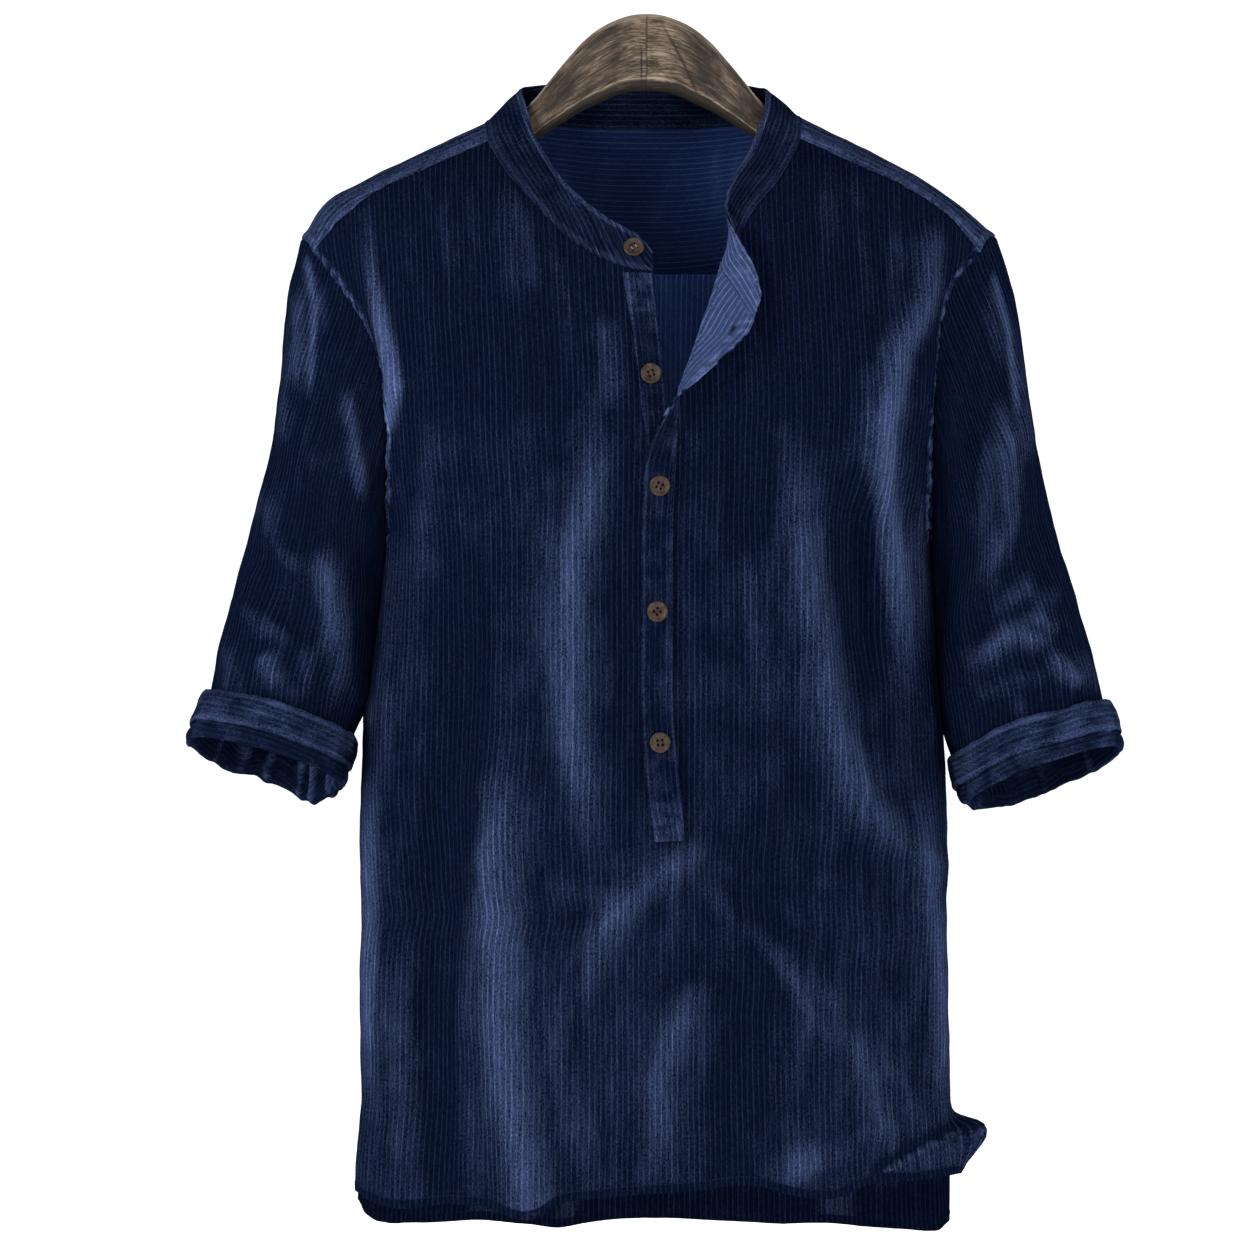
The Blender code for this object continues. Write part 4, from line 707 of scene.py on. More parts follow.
backPiece = {
    "outward": -1, "spacing": 3.0, "creaseShading": 0.04,
    "waves": [(28, 13.4, 0.8), (12, 5.2, 0.35)], "rippleSeed": 9.1,
    "sections": [
        (-150, 1, -212, 214, 8, 61, 66, 66), (-164, 1, -209, 211, 13, 62, 66, 66),
        (-200, 1, -196, 199, 26, 68, 72, 72), (-230, 2, -186, 192, 33, 71, 80, 80),
        (-270, 3, -177, 186, 31, 74, 88, 88), (-310, 5, -170, 183, 17, 75, 90, 90),
        (-335, 6, -168, 182, 0, 75, 90, 90), (-400, 6, -173, 185, 0, 74, 88, 88),
        (-450, 6, -179, 188, 0, 72, 88, 88), (-503, 6, -180, 189, 0, 70, 88, 88),
        (-567, 6, -180, 189, 0, 66, 88, 88), (-631, 6, -181, 190, 0, 62, 88, 88),
        (-700, 6, -181, 192, 0, 60, 88, 88), (-733, 6, -184, 194, 6, 58, 88, 88),
        (-790, 6, -184, 194, 9, 57, 88, 88)],
    "folds": [
        ([(-16, -170), (-17, -260), (-24, -420)], 11, 6), ([(16, -170), (17, -260), (26, -420)], 11, 6),
        ([(-120, -230), (-112, -360), (-120, -520), (-105, -640), (-108, -778)], 18, 11, 0, 0.8),
        ([(118, -240), (108, -380), (124, -520), (112, -660), (118, -780)], 18, 11, 0, 0.8),
        ([(-55, -420), (-48, -560), (-55, -783)], 16, 9, 0, 0.8),
        ([(48, -400), (62, -540), (50, -700)], 16, 8, 0, 0.2),
        ([(-84, -400), (-82, -600), (-84, -778)], 14, -7, 0, 0.8),
        ([(86, -380), (90, -560), (86, -780)], 15, -8, 0, 0.8)],
    # painted highlight along the ridges and painted shade in the troughs, with wash fading
    "fades": [0.24, 0.24, 0.28, 0.3, 0.22, 0.24, -0.1, -0.1],
    "creases": [
        ([(-14, -166), (-15, -230), (-18, -300)], 3, 2.2, 0.9, 0),
        ([(14, -166), (15, -230), (18, -300)], 3, 2.2, 0.9, 0),
        ([(0, -166), (0, -240), (2, -320)], 7, -2.4, 0.9, 0),
        ([(-60, -168), (-62, -215), (-70, -260)], 6, 1.4, 0.3, 0),
        ([(64, -168), (68, -215), (76, -260)], 6, 1.4, 0.3, 0),
        ([(-100, -170), (-108, -220), (-118, -270)], 7, 1.6, 0.3, 0),
        ([(104, -170), (112, -220), (124, -270)], 7, 1.6, 0.3, 0),
        ([(-160, -200), (-150, -260), (-140, -320)], 7, 2, 0.2, 0),
        ([(168, -200), (158, -260), (148, -320)], 7, 2, 0.2, 0),
        ([(-150, -350), (-130, -380), (-100, -390)], 7, 1.8),
        ([(160, -350), (136, -384), (104, -396)], 7, 1.8),
        ([(-30, -440), (-10, -500), (10, -560)], 8, 1.8),
        ([(20, -560), (14, -640), (18, -770)], 10, 3, 0, 0.8),
        ([(-150, -480), (-156, -600), (-150, -770)], 9, 2.4, 0, 0.7),
        ([(158, -480), (164, -600), (156, -770)], 9, 2.4, 0, 0.7),
        ([(-20, -620), (-16, -700), (-22, -775)], 8, 2, 0, 0.7)],
    "leftSeam": [(-92, -162), (-130, -163), (-165, -164), (-196, -165), (-209, -167)],
    "rightSeam": [(90, -162), (128, -163), (163, -164), (194, -165), (210, -167)],
    "hem": [
        (-182, -756), (-179, -766), (-174, -773), (-165, -777), (-150, -778), (-75, -781), (-55, -784.5),
        (-38, -781), (70, -780), (168, -782), (180, -782), (187, -780), (190.5, -775), (195, -766)],
    "armpit": -335, "vent": -700,
}
panelGrid = {
    "nearHem": (0, 1.0, 2.4, 4.4, 5.4, 6.4, 7.6),     # heights of the lowest rows over the hem
    "vent": 9, "side": 84, "armhole": 91,             # rows up to the vent, the armpit, the top
    "edgeSpacing": 1.3, "edgeReach": 9.0,             # columns near the armholes
}
ventRow = len(panelGrid["nearHem"]) + panelGrid["vent"]
armpitRow = ventRow + panelGrid["side"]
seamLook = {"width": 6.6, "edge": 2.4, "columns": 16,
            "hem": 6.0, "hemEdge": 1.0, "hemRows": 12, "hemHeight": 0.45}


def frontTop():
    # The top line from the left armhole to the right one
    piece = frontPiece
    return np.concatenate([
        along(piece["leftShoulder"], 60)[::-1], along(piece["leftNeck"], 70)[1:],
        np.linspace(piece["leftNeck"][-1], piece["foldLine"][0], 20)[1:-1],
        along(piece["foldLine"], 50), along(piece["rightNeck"], 50)[1:],
        along(piece["rightShoulder"], 60)[1:]])


def backTop():
    left, right = along(backPiece["leftSeam"], 40)[::-1], along(backPiece["rightSeam"], 40)
    return np.concatenate([left[:-1], np.linspace(left[-1], right[0], 70), right[1:]])


def columnStations(top, spacing):
    # Stations along a top line: evenly spread, closer at both ends, where the seams lie
    run, reach = runOf(top * (1.0, 0.35)), panelGrid["edgeReach"]
    edge = np.arange(0, reach, panelGrid["edgeSpacing"])
    inner = np.arange(reach, run[-1] - reach, spacing)
    return straight(top, np.unique(np.r_[edge, inner, run[-1] - edge]), run)


def rowHeights(piece, top, hem):
    # Heights of the rows from the hem to the top line, for each column
    vent, armpit = piece["vent"], piece["armpit"]
    low = hem + np.array(panelGrid["nearHem"])[:, None]
    share = np.linspace(0, 1, panelGrid["vent"] + 2)[1:-1, None]
    middle = np.linspace(vent, armpit, panelGrid["side"] + 1)[:-1, None] + 0 * hem
    up = armpit + (top - armpit) * np.linspace(0, 1, panelGrid["armhole"])[:, None]
    return np.concatenate([low, low[-1] + (vent - low[-1]) * share, middle, up])


def stripeMap(piece, t, z, blend=0.65):
    # Level lengths across the panel from its middle, part way between the folded cloth's
    # and the smooth surface's
    low, high, rows, half = -785, -75, 99, 100
    heights = np.linspace(low, high, rows + 1)[:, None]
    across = np.linspace(-1, 1, 2 * half + 1)[None]
    folded = panelPoints(piece, across, heights)[0]
    plain = sectionPoint(piece["sections"], across + 0 * heights, heights + 0 * across)
    table = runOf(folded, 1) * blend + runOf(plain, 1) * (1 - blend)
    t, z = np.broadcast_arrays(t, z)
    row = np.clip((z - low) / (high - low) * rows, 0, rows - 0.001)
    column = np.clip((t + 1) * half, 0, 2 * half - 0.001)
    return fromGrid(table - table[:, half:half + 1], row, column)


def unevenness(piece, points):
    return rumple(points, *piece["waves"]) + ripples(points, piece["rippleSeed"]) * 0.45


def panelCloth(name, piece, top):
    # A panel, its places across and its heights, and its top line
    top = columnStations(top, piece["spacing"])
    t = placeAcross(piece["sections"], *top.T)
    t[0], t[-1] = -1.0, 1.0
    hemX = sectionPoint(piece["sections"], t, np.full_like(t, piece["vent"]))[..., 0]
    z = rowHeights(piece, top[:, 1], smooth(hemX, *np.array(piece["hem"]).T))
    points, x, small = panelPoints(piece, t, z)
    uneven = unevenness(piece, points)
    fade = ease(1 - np.abs(t), 0, 0.05) * ease(len(z) - 1 - np.arange(len(z)), 0, 4)[:, None]
    points = points + gridNormals(points) * (uneven * fade * piece["outward"])[..., None]
    # wash fading and painted light: fold ridges, raised creases and rumples lighter, hollows darker
    worn = 0.02 + foldFadeAndShading(piece, x, z) + small * piece["creaseShading"] + uneven * 0.04
    uv = np.stack([stripeMap(piece, t, z), z], -1)
    return Cloth(name, points, uv, worn, flip=piece["outward"] < 0), t, z, top


def frontCloth():
    piece = frontPiece
    cloth, t, z, top = panelCloth("frontPanel", piece, frontTop())
    start, middleZ, reach, move = piece["flare"]
    over = cloth.points[..., 2] - middleZ
    curl = ease(t + 0 * z, start, 1) * bell(over, 0, np.where(over < 0, *reach))
    cloth.points += curl[..., None] * np.array(move, float)
    # lighter below z -540 and darker above z -200; then a painted shadow 2 mm below the top edge, under
    # the collar band, shoulder seams and placket
    cloth.worn += 0.02 * ease(-z, 540, 660) - 0.035 * ease(z, -340, -200)
    cloth.worn -= 0.10 * bell(top[:, 1] - z, 2.0, 2.4)
    relief = panelRelief(cloth)
    x, above = cloth.points[..., 0], cloth.points[..., 2]
    above = above - np.interp(x, *np.array(piece["strip"], float).T)
    begun = ease(x, *piece["stripStart"])
    turned = ease(-above, 0, 1.5) * begun
    # painted highlight along the turned strip's upper edge and painted shade just above it
    cloth.worn += turned * 0.04 + begun * (bell(above, -1.2, 1.2) * 0.22
                                           - bell(above, 3, 3.5) * 0.2)
    cloth.raised(turned * 2.2)
    finishSeams(cloth, relief)
    return cloth


def backCloth(front):
    cloth, _, z, _ = panelCloth("backPanel", backPiece, backTop())
    for edge in (0, -1):
        cloth.points[ventRow:armpitRow + 1, edge] = front.points[ventRow:armpitRow + 1, edge]
    # lighter above z -300, and darker at the hem as painted shade
    cloth.worn += 0.06 * ease(z, -300, -220) - 0.12 * ease(-z, 745, 765)
    finishSeams(cloth, panelRelief(cloth))
    return cloth


def finishSeams(cloth, relief, rough=1.0):
    # Felled seams stand proud and pucker between their stitches; their raised band is painted lighter as
    # highlight and their edges darker as painted shade
    pucker = rumple(cloth.points, (5.0, 17.7, 0.5), (3.0, 3.3, 0.4)) * rough
    cloth.worn = cloth.worn + relief * (0.11 + pucker * 0.9) - relief * (1 - relief) * 1.4
    cloth.raised(relief * (0.7 + pucker * 2.6))


def seamRelief(cloth, rows=slice(None)):
    # 1 in the felled seams along both armholes, 0 outside
    relief, count, width = np.zeros(cloth.worn.shape), seamLook["columns"], seamLook["width"]
    for way in (1, -1):
        run = runOf(cloth.points[:, ::way][:, :count, ::2], 1)
        relief[rows, ::way][:, :count] = 1 - ease(run[rows], width - seamLook["edge"], width)
    return relief


def panelRelief(cloth):
    # The seams and the hem
    relief = seamRelief(cloth, slice(armpitRow, None))
    count, width = seamLook["hemRows"], seamLook["hem"]
    hem = 1 - ease(runOf(cloth.points[:count]), width - seamLook["hemEdge"], width)
    relief[:count] += hem * seamLook["hemHeight"]
    return relief


# ---- the yoke

yokePiece = {
    # front seam's x and z, crest's x, y and z, back seam's x and z, from the neck outwards
    "left": [
        (-100, -82, -102, -2, -70, -92, -162), (-140, -101, -148, 0, -91, -130, -163),
        (-174, -117, -179, 1, -106, -165, -164), (-204, -142, -206, 1, -122, -196, -165),
        (-212, -152, -220, 1, -144, -209, -167)],
    "right": [
        (97, -80, 98, -2, -67, 90, -162), (128, -96, 128, 0, -81, 128, -163),
        (162, -112, 160, 1, -97, 163, -164), (192, -131, 196, 1, -119, 194, -165),
        (212, -152, 223, 1, -142, 210, -167)],
    # back neckline's x, y, z and the roll over it in degrees
    "neck": [
        (-102, -2, -70, 0), (-97, 16, -68, 14), (-82, 33, -67, 30), (-58, 46, -67, 45),
        (-30, 53, -68, 56), (-2, 55, -68, 60), (28, 53, -68, 56), (55, 46, -67, 45), (79, 33, -66, 30),
        (93, 16, -66, 14), (98, -2, -67, 0)],
    # painted creases, as highlight and shade only: x at the height of -110, slant, width, lowest and
    # highest height, change in tone
    "creases": [
        (57, 0.1, 2.4, -150, -92, 0.34), (63, 0.14, 4, -150, -92, -0.08),
        (46, -0.05, 3, -120, -84, 0.22), (-30, 0.25, 5, -140, -92, 0.14),
        (-52, -0.1, 3, -120, -84, 0.18), (12, 0.3, 4, -135, -90, 0.14)],
    "frontArc": math.radians(58),
    "shoulderSteps": 44, "neckSteps": 64, "frontSteps": 12, "backSteps": 34,
}


def yokeCloth():
    piece = yokePiece
    side, neckSteps = piece["shoulderSteps"], piece["neckSteps"]
    front, back, arc = piece["frontSteps"], piece["backSteps"], piece["frontArc"]
    columns, rows = 2 * side + neckSteps + 1, front + back + 1
    left, right = ([along(np.array(piece[name])[:, a:b], side)
                    for a, b in ((0, 2), (2, 5), (5, 7))] for name in ("left", "right"))
    neck = along(piece["neck"], neckSteps)
    starts = np.concatenate([left[1][::-1], neck[1:-1, :3], right[1]])
    roll = np.radians(np.r_[np.zeros(side), neck[:, 3], np.zeros(side)])
    ends = onPanel(backPiece, np.concatenate([
        left[2][::-1][:-1], np.linspace(left[2][0], right[2][0], neckSteps + 1),
        right[2][1:]]))
    (x, y, z), (endX, endY, endZ) = starts.T, ends.T
    share = np.linspace(0, 1, back + 1)[:, None]
    angle = roll + (math.pi / 2 - roll) * share
    crestY = (y - endY * np.sin(roll)) / (1 - np.sin(roll))
    crestZ = (z - endZ * (1 - np.cos(roll))) / np.cos(roll)
    points = np.zeros((rows, columns, 3))
    points[front:] = np.stack([x + (endX - x) * share, crestY + (endY - crestY) * np.sin(angle),
                               crestZ - (crestZ - endZ) * (1 - np.cos(angle))], -1)
    share = (1 - np.arange(front) / front)[:, None]
    share = np.stack([share, np.sin(arc * share) / math.sin(arc),
                      (1 - np.cos(arc * share)) / (1 - math.cos(arc))], -1)
    shoulders = slice(0, side + 1), slice(columns - side - 1, columns)
    for places, line, end, t in zip(shoulders, (left[0][::-1], right[0]), (0, -1), (-1.0, 1.0)):
        seam = onPanel(frontPiece, line)
        seam[end] = sectionPoint(frontPiece["sections"], t, line[end][1])
        points[:front, places] = starts[places] + (seam - starts[places]) * share
    cells = np.ones((rows - 1, columns - 1), bool)
    cells[:front, side:columns - 1 - side] = False
    points[:front, side + 1:columns - 1 - side] = points[front, side + 1:columns - 1 - side]
    uneven = rumple(points, (22, 1.9, 0.6), (9, 4.4, 0.3))
    fade = ease(np.arange(rows), 0, 3) * ease(rows - 1 - np.arange(rows), 0, 3)
    # down the sleeve and the back from the crest, the stripes run across
    v = runOf(points[:front + 1, :, ::2]) * 1.05
    v = np.concatenate([(v - v[-1])[:-1], runOf(points[front:])])
    even = np.median(v[:, side:columns - side], axis=1)[:, None]
    v[front:] = v[front:] * 0.5 + even[front:] * 0.5
    # painted shade: the inside is 0.10 darker than the outside; rumples are painted lighter
    inside = (np.arange(rows) > front)[:, None]
    cloth = Cloth("backYoke", points, np.stack([v, np.broadcast_to(x, v.shape)], -1),
                  0.08 + uneven * 0.08 + 0.10 * (1 - inside), cells=cells)
    cloth.facing = np.zeros_like(points)
    cloth.facing[front:] = gridNormals(points[front:])
    for places in shoulders:
        cloth.facing[:front + 1, places] = gridNormals(points[:front + 1, places])
    cloth.raised(uneven * fade[:, None])
    relief = seamRelief(cloth)
    relief[:3], relief[-3:] = 1.0, np.maximum(relief[-3:], 0.6)
    finishSeams(cloth, relief, 0.45)
    # creases inside the neck, painted as light and shade in the colour, without relief
    x, z = cloth.points[..., 0], cloth.points[..., 2]
    for paintedCrease, slant, wide, low, high, tone in piece["creases"]:
        cloth.worn = cloth.worn + tone * bell(x - slant * (z + 110), paintedCrease, wide) * inside * (
            ease(z, low - 8, low) * ease(-z, -high - 8, -high))
    return cloth


def overlapYoke(cloth):
    # Lay the yoke's lower edges over the panels that they are sewn to
    points, normals = cloth.points, cloth.normals()
    for edge, step in ((-1, -1), (0, 1)):
        way = unit(points[edge] - points[edge + 2 * step])
        points[edge] += way * 1.5 + normals[edge] * 0.6
        points[edge + step] += way * 0.8 + normals[edge + step] * 0.5


# ---- sleeves and cuffs

sleevePieces = {
    "left": {
        # outer x and z, inner x and z, middle's y, half depth and tilt of each ring
        "rings": [
            (-220, -144, -166, -335, 12, 36, 0), (-229, -180, -163, -350, 13, 41, 0),
            (-235, -232, -163, -366, 16, 46, 0), (-241, -276, -165, -380, 18, 49, 1),
            (-252, -322, -168, -398, 14, 50, 3), (-263, -365, -172, -417, 7, 50, 6),
            (-272, -403, -176, -438, -3, 47, 10), (-279, -438, -189, -464, -10, 45, 13),
            (-289, -465, -196, -491, -17, 44, 13)],
        "folds": [
            ([(-222, -162), (-220, -250)], 5, 4, 0.1, 0), ([(-192, -232), (-178, -320)], 5, 5),
            ([(-209, -335), (-200, -364), (-194, -420)], 8, 6, 0, 0.2),
            ([(-242, -405), (-230, -432)], 7, 5, 0, 0.3),
            ([(-255, -330), (-225, -385), (-200, -400)], 10, -4)],
        "creases": [
            ([(-214, -150), (-205, -190), (-196, -230)], 6, 1.8, 0.2, 0),
            ([(-230, -190), (-232, -250), (-228, -290)], 7, 1.8),
            ([(-196, -180), (-200, -230), (-208, -290)], 6, -1.8, 0.2, 0),
            ([(-246, -300), (-236, -340), (-214, -366)], 6, 2),
            ([(-262, -372), (-240, -392), (-214, -404)], 6, 1.8),
            ([(-266, -398), (-262, -420), (-264, -436)], 6, 1.6, 0, 0.4),
            ([(-214, -400), (-214, -430), (-222, -446)], 5, 1.6, 0, 0.5),
            ([(-190, -400), (-196, -430), (-204, -452)], 5, 1.8, 0, 0.5)],
        "backFolds": [
            ([(-216, -180), (-212, -260)], 10, 4), ([(-188, -250), (-196, -330)], 10, 4),
            ([(-250, -320), (-222, -372), (-196, -392)], 9, 4),
            ([(-258, -372), (-232, -404), (-200, -424)], 9, -4),
            ([(-236, -396), (-238, -440)], 8, 3, 0, 0.4)],
        "seed": 21.3, "cuffWearAndLight": 0.01,
        # a painted highlight along a crease below the shoulder, and the pleats' places round the cuff's
        # outside
        "glint": [(-216.5, -158), (-211, -186), (-214, -239)],
        "pleats": (3.75, 4.35, 5.2),
        # bulges of the opening's lower edge: place round it from the outer side in radians,
        # half width and drop
        "sag": [(5, 1.2, 4), (4.1, 0.36, 8), (5.3, 0.12, 1.5), (4.9, 0.1, -1.5)],
        # rolls of the cloth inside the opening: place, half width and height
        "rolls": [
            (3.45, 0.07, 3), (3.72, 0.09, 4.2), (4.05, 0.08, 3.6), (4.35, 0.06, 2.4), (4.75, 0.08, 2.4),
            (5.2, 0.06, 2), (5.6, 0.08, 2)],
    },
    "right": {
        "rings": [
            (223, -142, 180, -335, 12, 36, 0), (235, -180, 181, -350, 13, 41, 0),
            (243, -226, 178, -366, 16, 46, 0), (250, -271, 178, -381, 18, 49, 1),
            (259.5, -318, 180, -400, 14, 50, 3), (271, -362, 182, -422, 7, 50, 6),
            (282.5, -405, 186, -446, -3, 47, 10), (292, -444, 196, -477, -10, 45, 13),
            (300, -470, 204, -503, -17, 44, 13)],
        "folds": [
            ([(226, -235), (231, -322), (208, -374)], 8, 5),
            ([(200, -420), (228, -396), (262, -404)], 7, 5, 0, 0.1),
            ([(250, -406), (276, -432)], 6, 5, 0, 0.2), ([(240, -384), (262, -396)], 5, 3),
            ([(206, -190), (202, -300)], 10, -4), ([(245, -300), (250, -370)], 11, -4)],
        "creases": [
            ([(216, -160), (220, -200), (224, -240)], 6, 1.8, 0.2, 0),
            ([(236, -190), (240, -250), (244, -300)], 7, 1.8),
            ([(212, -250), (216, -310), (208, -350)], 6, 1.8),
            ([(256, -330), (240, -366), (216, -388)], 6, 2.2),
            ([(264, -362), (246, -384), (222, -396)], 6, 1.8),
            ([(206, -440), (232, -424), (258, -424)], 6, 1.8, 0, 0.3),
            ([(272, -404), (284, -430)], 5, 1.6, 0, 0.4), ([(226, -430), (236, -450)], 5, 1.6, 0.2, 0.5)],
        "backFolds": [
            ([(222, -180), (218, -260)], 10, 4), ([(198, -250), (206, -330)], 10, 4),
            ([(260, -320), (234, -372), (208, -394)], 9, 4),
            ([(268, -372), (244, -406), (214, -428)], 9, -4), ([(250, -396), (254, -442)], 8, 3, 0, 0.4)],
        "seed": 34.8, "cuffWearAndLight": 0.04,
        "glint": [(222, -168), (231, -205), (236, -255)],
        "pleats": (4.25, 4.52, 4.93),
        "sag": [(4.6, 1.3, 4.5), (3.4, 0.3, -5), (5.1, 0.12, -1), (4.4, 0.1, 1)],
        "rolls": [(3.4, 0.08, 2.5), (3.8, 0.07, 1.5), (4.8, 0.06, 1), (5.5, 0.08, 1.4)],
    },
    "armholeFade": 0.36,       # share of the sleeve over which the armhole's shape fades out
    "cuffStart": 6.98,         # the ring at which the cuff's upper edge lies
    "endShare": 0.89,          # share of the cuff down to which the sleeve reaches inside
    "rows": 108, "clearance": 1.5,
    # the rolled cuff: how far outside the sleeve, and how far down it as a share
    "cuff": [
        (0.9, 0.34), (1, 0.12), (1.7, 0.01), (3.2, -0.03), (4.6, 0.02), (5.3, 0.12), (5.6, 0.3),
        (5.4, 0.5), (5.2, 0.6), (4.6, 0.66), (3.6, 0.655), (3.1, 0.68), (3.5, 0.75), (4.1, 0.84),
        (3.8, 0.95), (2.8, 1.02), (1.2, 1.03), (-0.3, 0.98), (-0.9, 0.84), (-1, 0.6), (-0.9, 0.36)],
    "cuffHeight": 29.0,
}


class Sleeve:
    def __init__(self, side, loop, armpit):
        self.side, self.piece, self.armpit = side, sleevePieces[side], armpit
        gaps = np.linalg.norm(loop - np.roll(loop, 1, axis=0), axis=1)
        run = np.cumsum(gaps) - gaps[0]
        down, up = run[:armpit + 1], run[armpit + 1:]
        whole = run[-1] + gaps[0] - down[-1]
        self.angles = math.pi * np.r_[down / down[-1], 1 + (up - down[-1]) / whole]
        self.crest = len(loop) - armpit                 # the grids start at the underarm seam
        self.shift = loop - self.oval(0 * self.angles)[0]
        self.last, self.start = len(self.piece["rings"]) - 1, sleevePieces["cuffStart"]

    def oval(self, at):
        rings = self.piece["rings"]
        outerX, outerZ, innerX, innerZ, middleY, halfDepth, tilt = np.moveaxis(
            curve(at, np.arange(len(rings)), rings), -1, 0)
        tilt, turn = np.radians(tilt), self.angles[:, None]
        middle = np.stack([(outerX + innerX) / 2, middleY, (outerZ + innerZ) / 2], -1)
        half = np.stack([(outerX - innerX) / 2, 0 * outerX, (outerZ - innerZ) / 2], -1)
        depth = np.stack([0 * tilt, halfDepth * np.cos(tilt), -halfDepth * np.sin(tilt)], -1)
        return middle + np.cos(turn) * half - np.sin(turn) * depth, middle

    def ring(self, at):
        # Points, directions outwards and height of the folds at a place down the sleeve
        at = at + 0 * self.angles
        points, middle = self.oval(at)
        fade = 1 - ease(at / self.last, 0, sleevePieces["armholeFade"])
        points = points + self.shift * fade[:, None]
        outward = unit((points - middle) * (1, 1, 0.15))
        facing, begun = np.sin(self.angles), ease(at, 0.2, 1.2)
        height = 0
        for name, shown in (("folds", ease(facing, 0.05, 0.5) * begun),
                            ("creases", ease(facing, -0.1, 0.3) * ease(at, 0.1, 0.7)),
                            ("backFolds", ease(-facing, 0.05, 0.5) * begun)):
            height = height + foldHeight(self.piece[name], points[:, 0], points[:, 2]) * shown
        return points + outward * height[:, None], unit(points - middle), height

    def cloth(self, name, points, mapped, worn, flip):
        points = np.array(points)
        return Cloth(name + self.side.capitalize(), points, mapped, worn, closed=True, flip=flip)

    def turned(self, grid, axis=-1):
        return np.roll(grid, -self.armpit, axis=axis)


def armholeLoop(front, back, yoke, column):
    # Round the armhole from the crest down the front to the armpit and up the back,
    # with the body's normals there and the directions into its pieces
    steps = yokePiece["frontSteps"]
    beside = 1 if column == 0 else -2
    parts = []
    for cloth, rows in ((yoke, slice(steps, 0, -1)), (front, slice(None, armpitRow - 1, -1)),
                        (back, slice(armpitRow + 1, None)), (yoke, slice(-2, steps, -1))):
        edge = cloth.points[rows, column]
        inward = unit(cloth.points[rows, beside] - edge)
        parts.append((edge, cloth.normals()[rows, column], inward))
    return [np.concatenate(part) for part in zip(*parts)]


def surfaceTree(cloth):
    quads = cornersOf(np.arange(cloth.worn.size).reshape(cloth.worn.shape))
    quads = quads.reshape(-1, 4)[:, ::-1 if cloth.flip else 1]
    return BVHTree.FromPolygons(cloth.points.reshape(-1, 3).tolist(), quads.tolist())


def keepClear(points, trees, distance):
    for place in np.ndindex(points.shape[:-1]):
        for tree in trees:
            hit, normal, _, apart = tree.find_nearest(points[place], distance)
            if hit is None:
                continue
            away = Vector(points[place]) - hit
            inside = away.dot(normal) < 0 and away.length < 1e-6 + abs(away.dot(normal)) * 1.2
            direction = normal if inside or apart < 1e-6 else away.normalized()
            points[place] = hit + direction * distance


def ringMap(points, crest):
    # Lengths round each ring from the crest, and along the sleeve
    wide = closedUp(points)
    u = runOf(wide, 1)
    return u - u[:, crest:crest + 1], runOf(wide)


def sleeveCloth(sleeve, loop, normals, inward, trees):
    piece, side, seed = sleeve.piece, sleeve.side, sleeve.piece["seed"]
    end = sleeve.start + (sleeve.last - sleeve.start) * sleevePieces["endShare"]
    made = [sleeve.ring(at) for at in np.linspace(0.06, end, sleevePieces["rows"])]
    rings, heights = (np.array([ring[k] for ring in made]) for k in (0, 2))
    keepClear(rings, trees, sleevePieces["clearance"])
    tucked = [loop + inward * 2.4 - normals * 1.3, loop + inward * 0.6 - normals * 1.0]
    rings = sleeve.turned(np.concatenate([tucked, rings])[::-1], 1)
    heights = sleeve.turned(np.concatenate([heights[[0, 0]], heights])[::-1])
    uneven = rumple(rings, (24, seed, 0.9), (10, seed, 0.4)) + ripples(rings, seed) * 0.5
    fade = ease(len(rings) - 1 - np.arange(len(rings)), 1, 5)[:, None]
    u, v = ringMap(rings, sleeve.crest)
    x, y, z = np.moveaxis(rings, -1, 0)
    # a painted highlight along the glint line on the sleeve's front; fold heights and rumples are painted
    # lighter too
    glintX, glintZ = np.array(piece["glint"], float).T
    glint = bell(x - np.interp(-z, -glintZ, glintX), 0, 2.6) * (y < y.mean(axis=1, keepdims=True))
    glint = glint * ease(-z, -glintZ[0] - 6, 6 - glintZ[0])
    glint = glint * ease(z, glintZ[-1] - 12, glintZ[-1] + 12)
    # the weave evens out over small folds
    cloth = sleeve.cloth("sleeve", rings, np.stack([evened(u, 25), v], -1),
                         heights * 0.045 - 0.01 + uneven * 0.05 + glint * 0.30, side == "right")
    cloth.raised(uneven * fade)
    return cloth


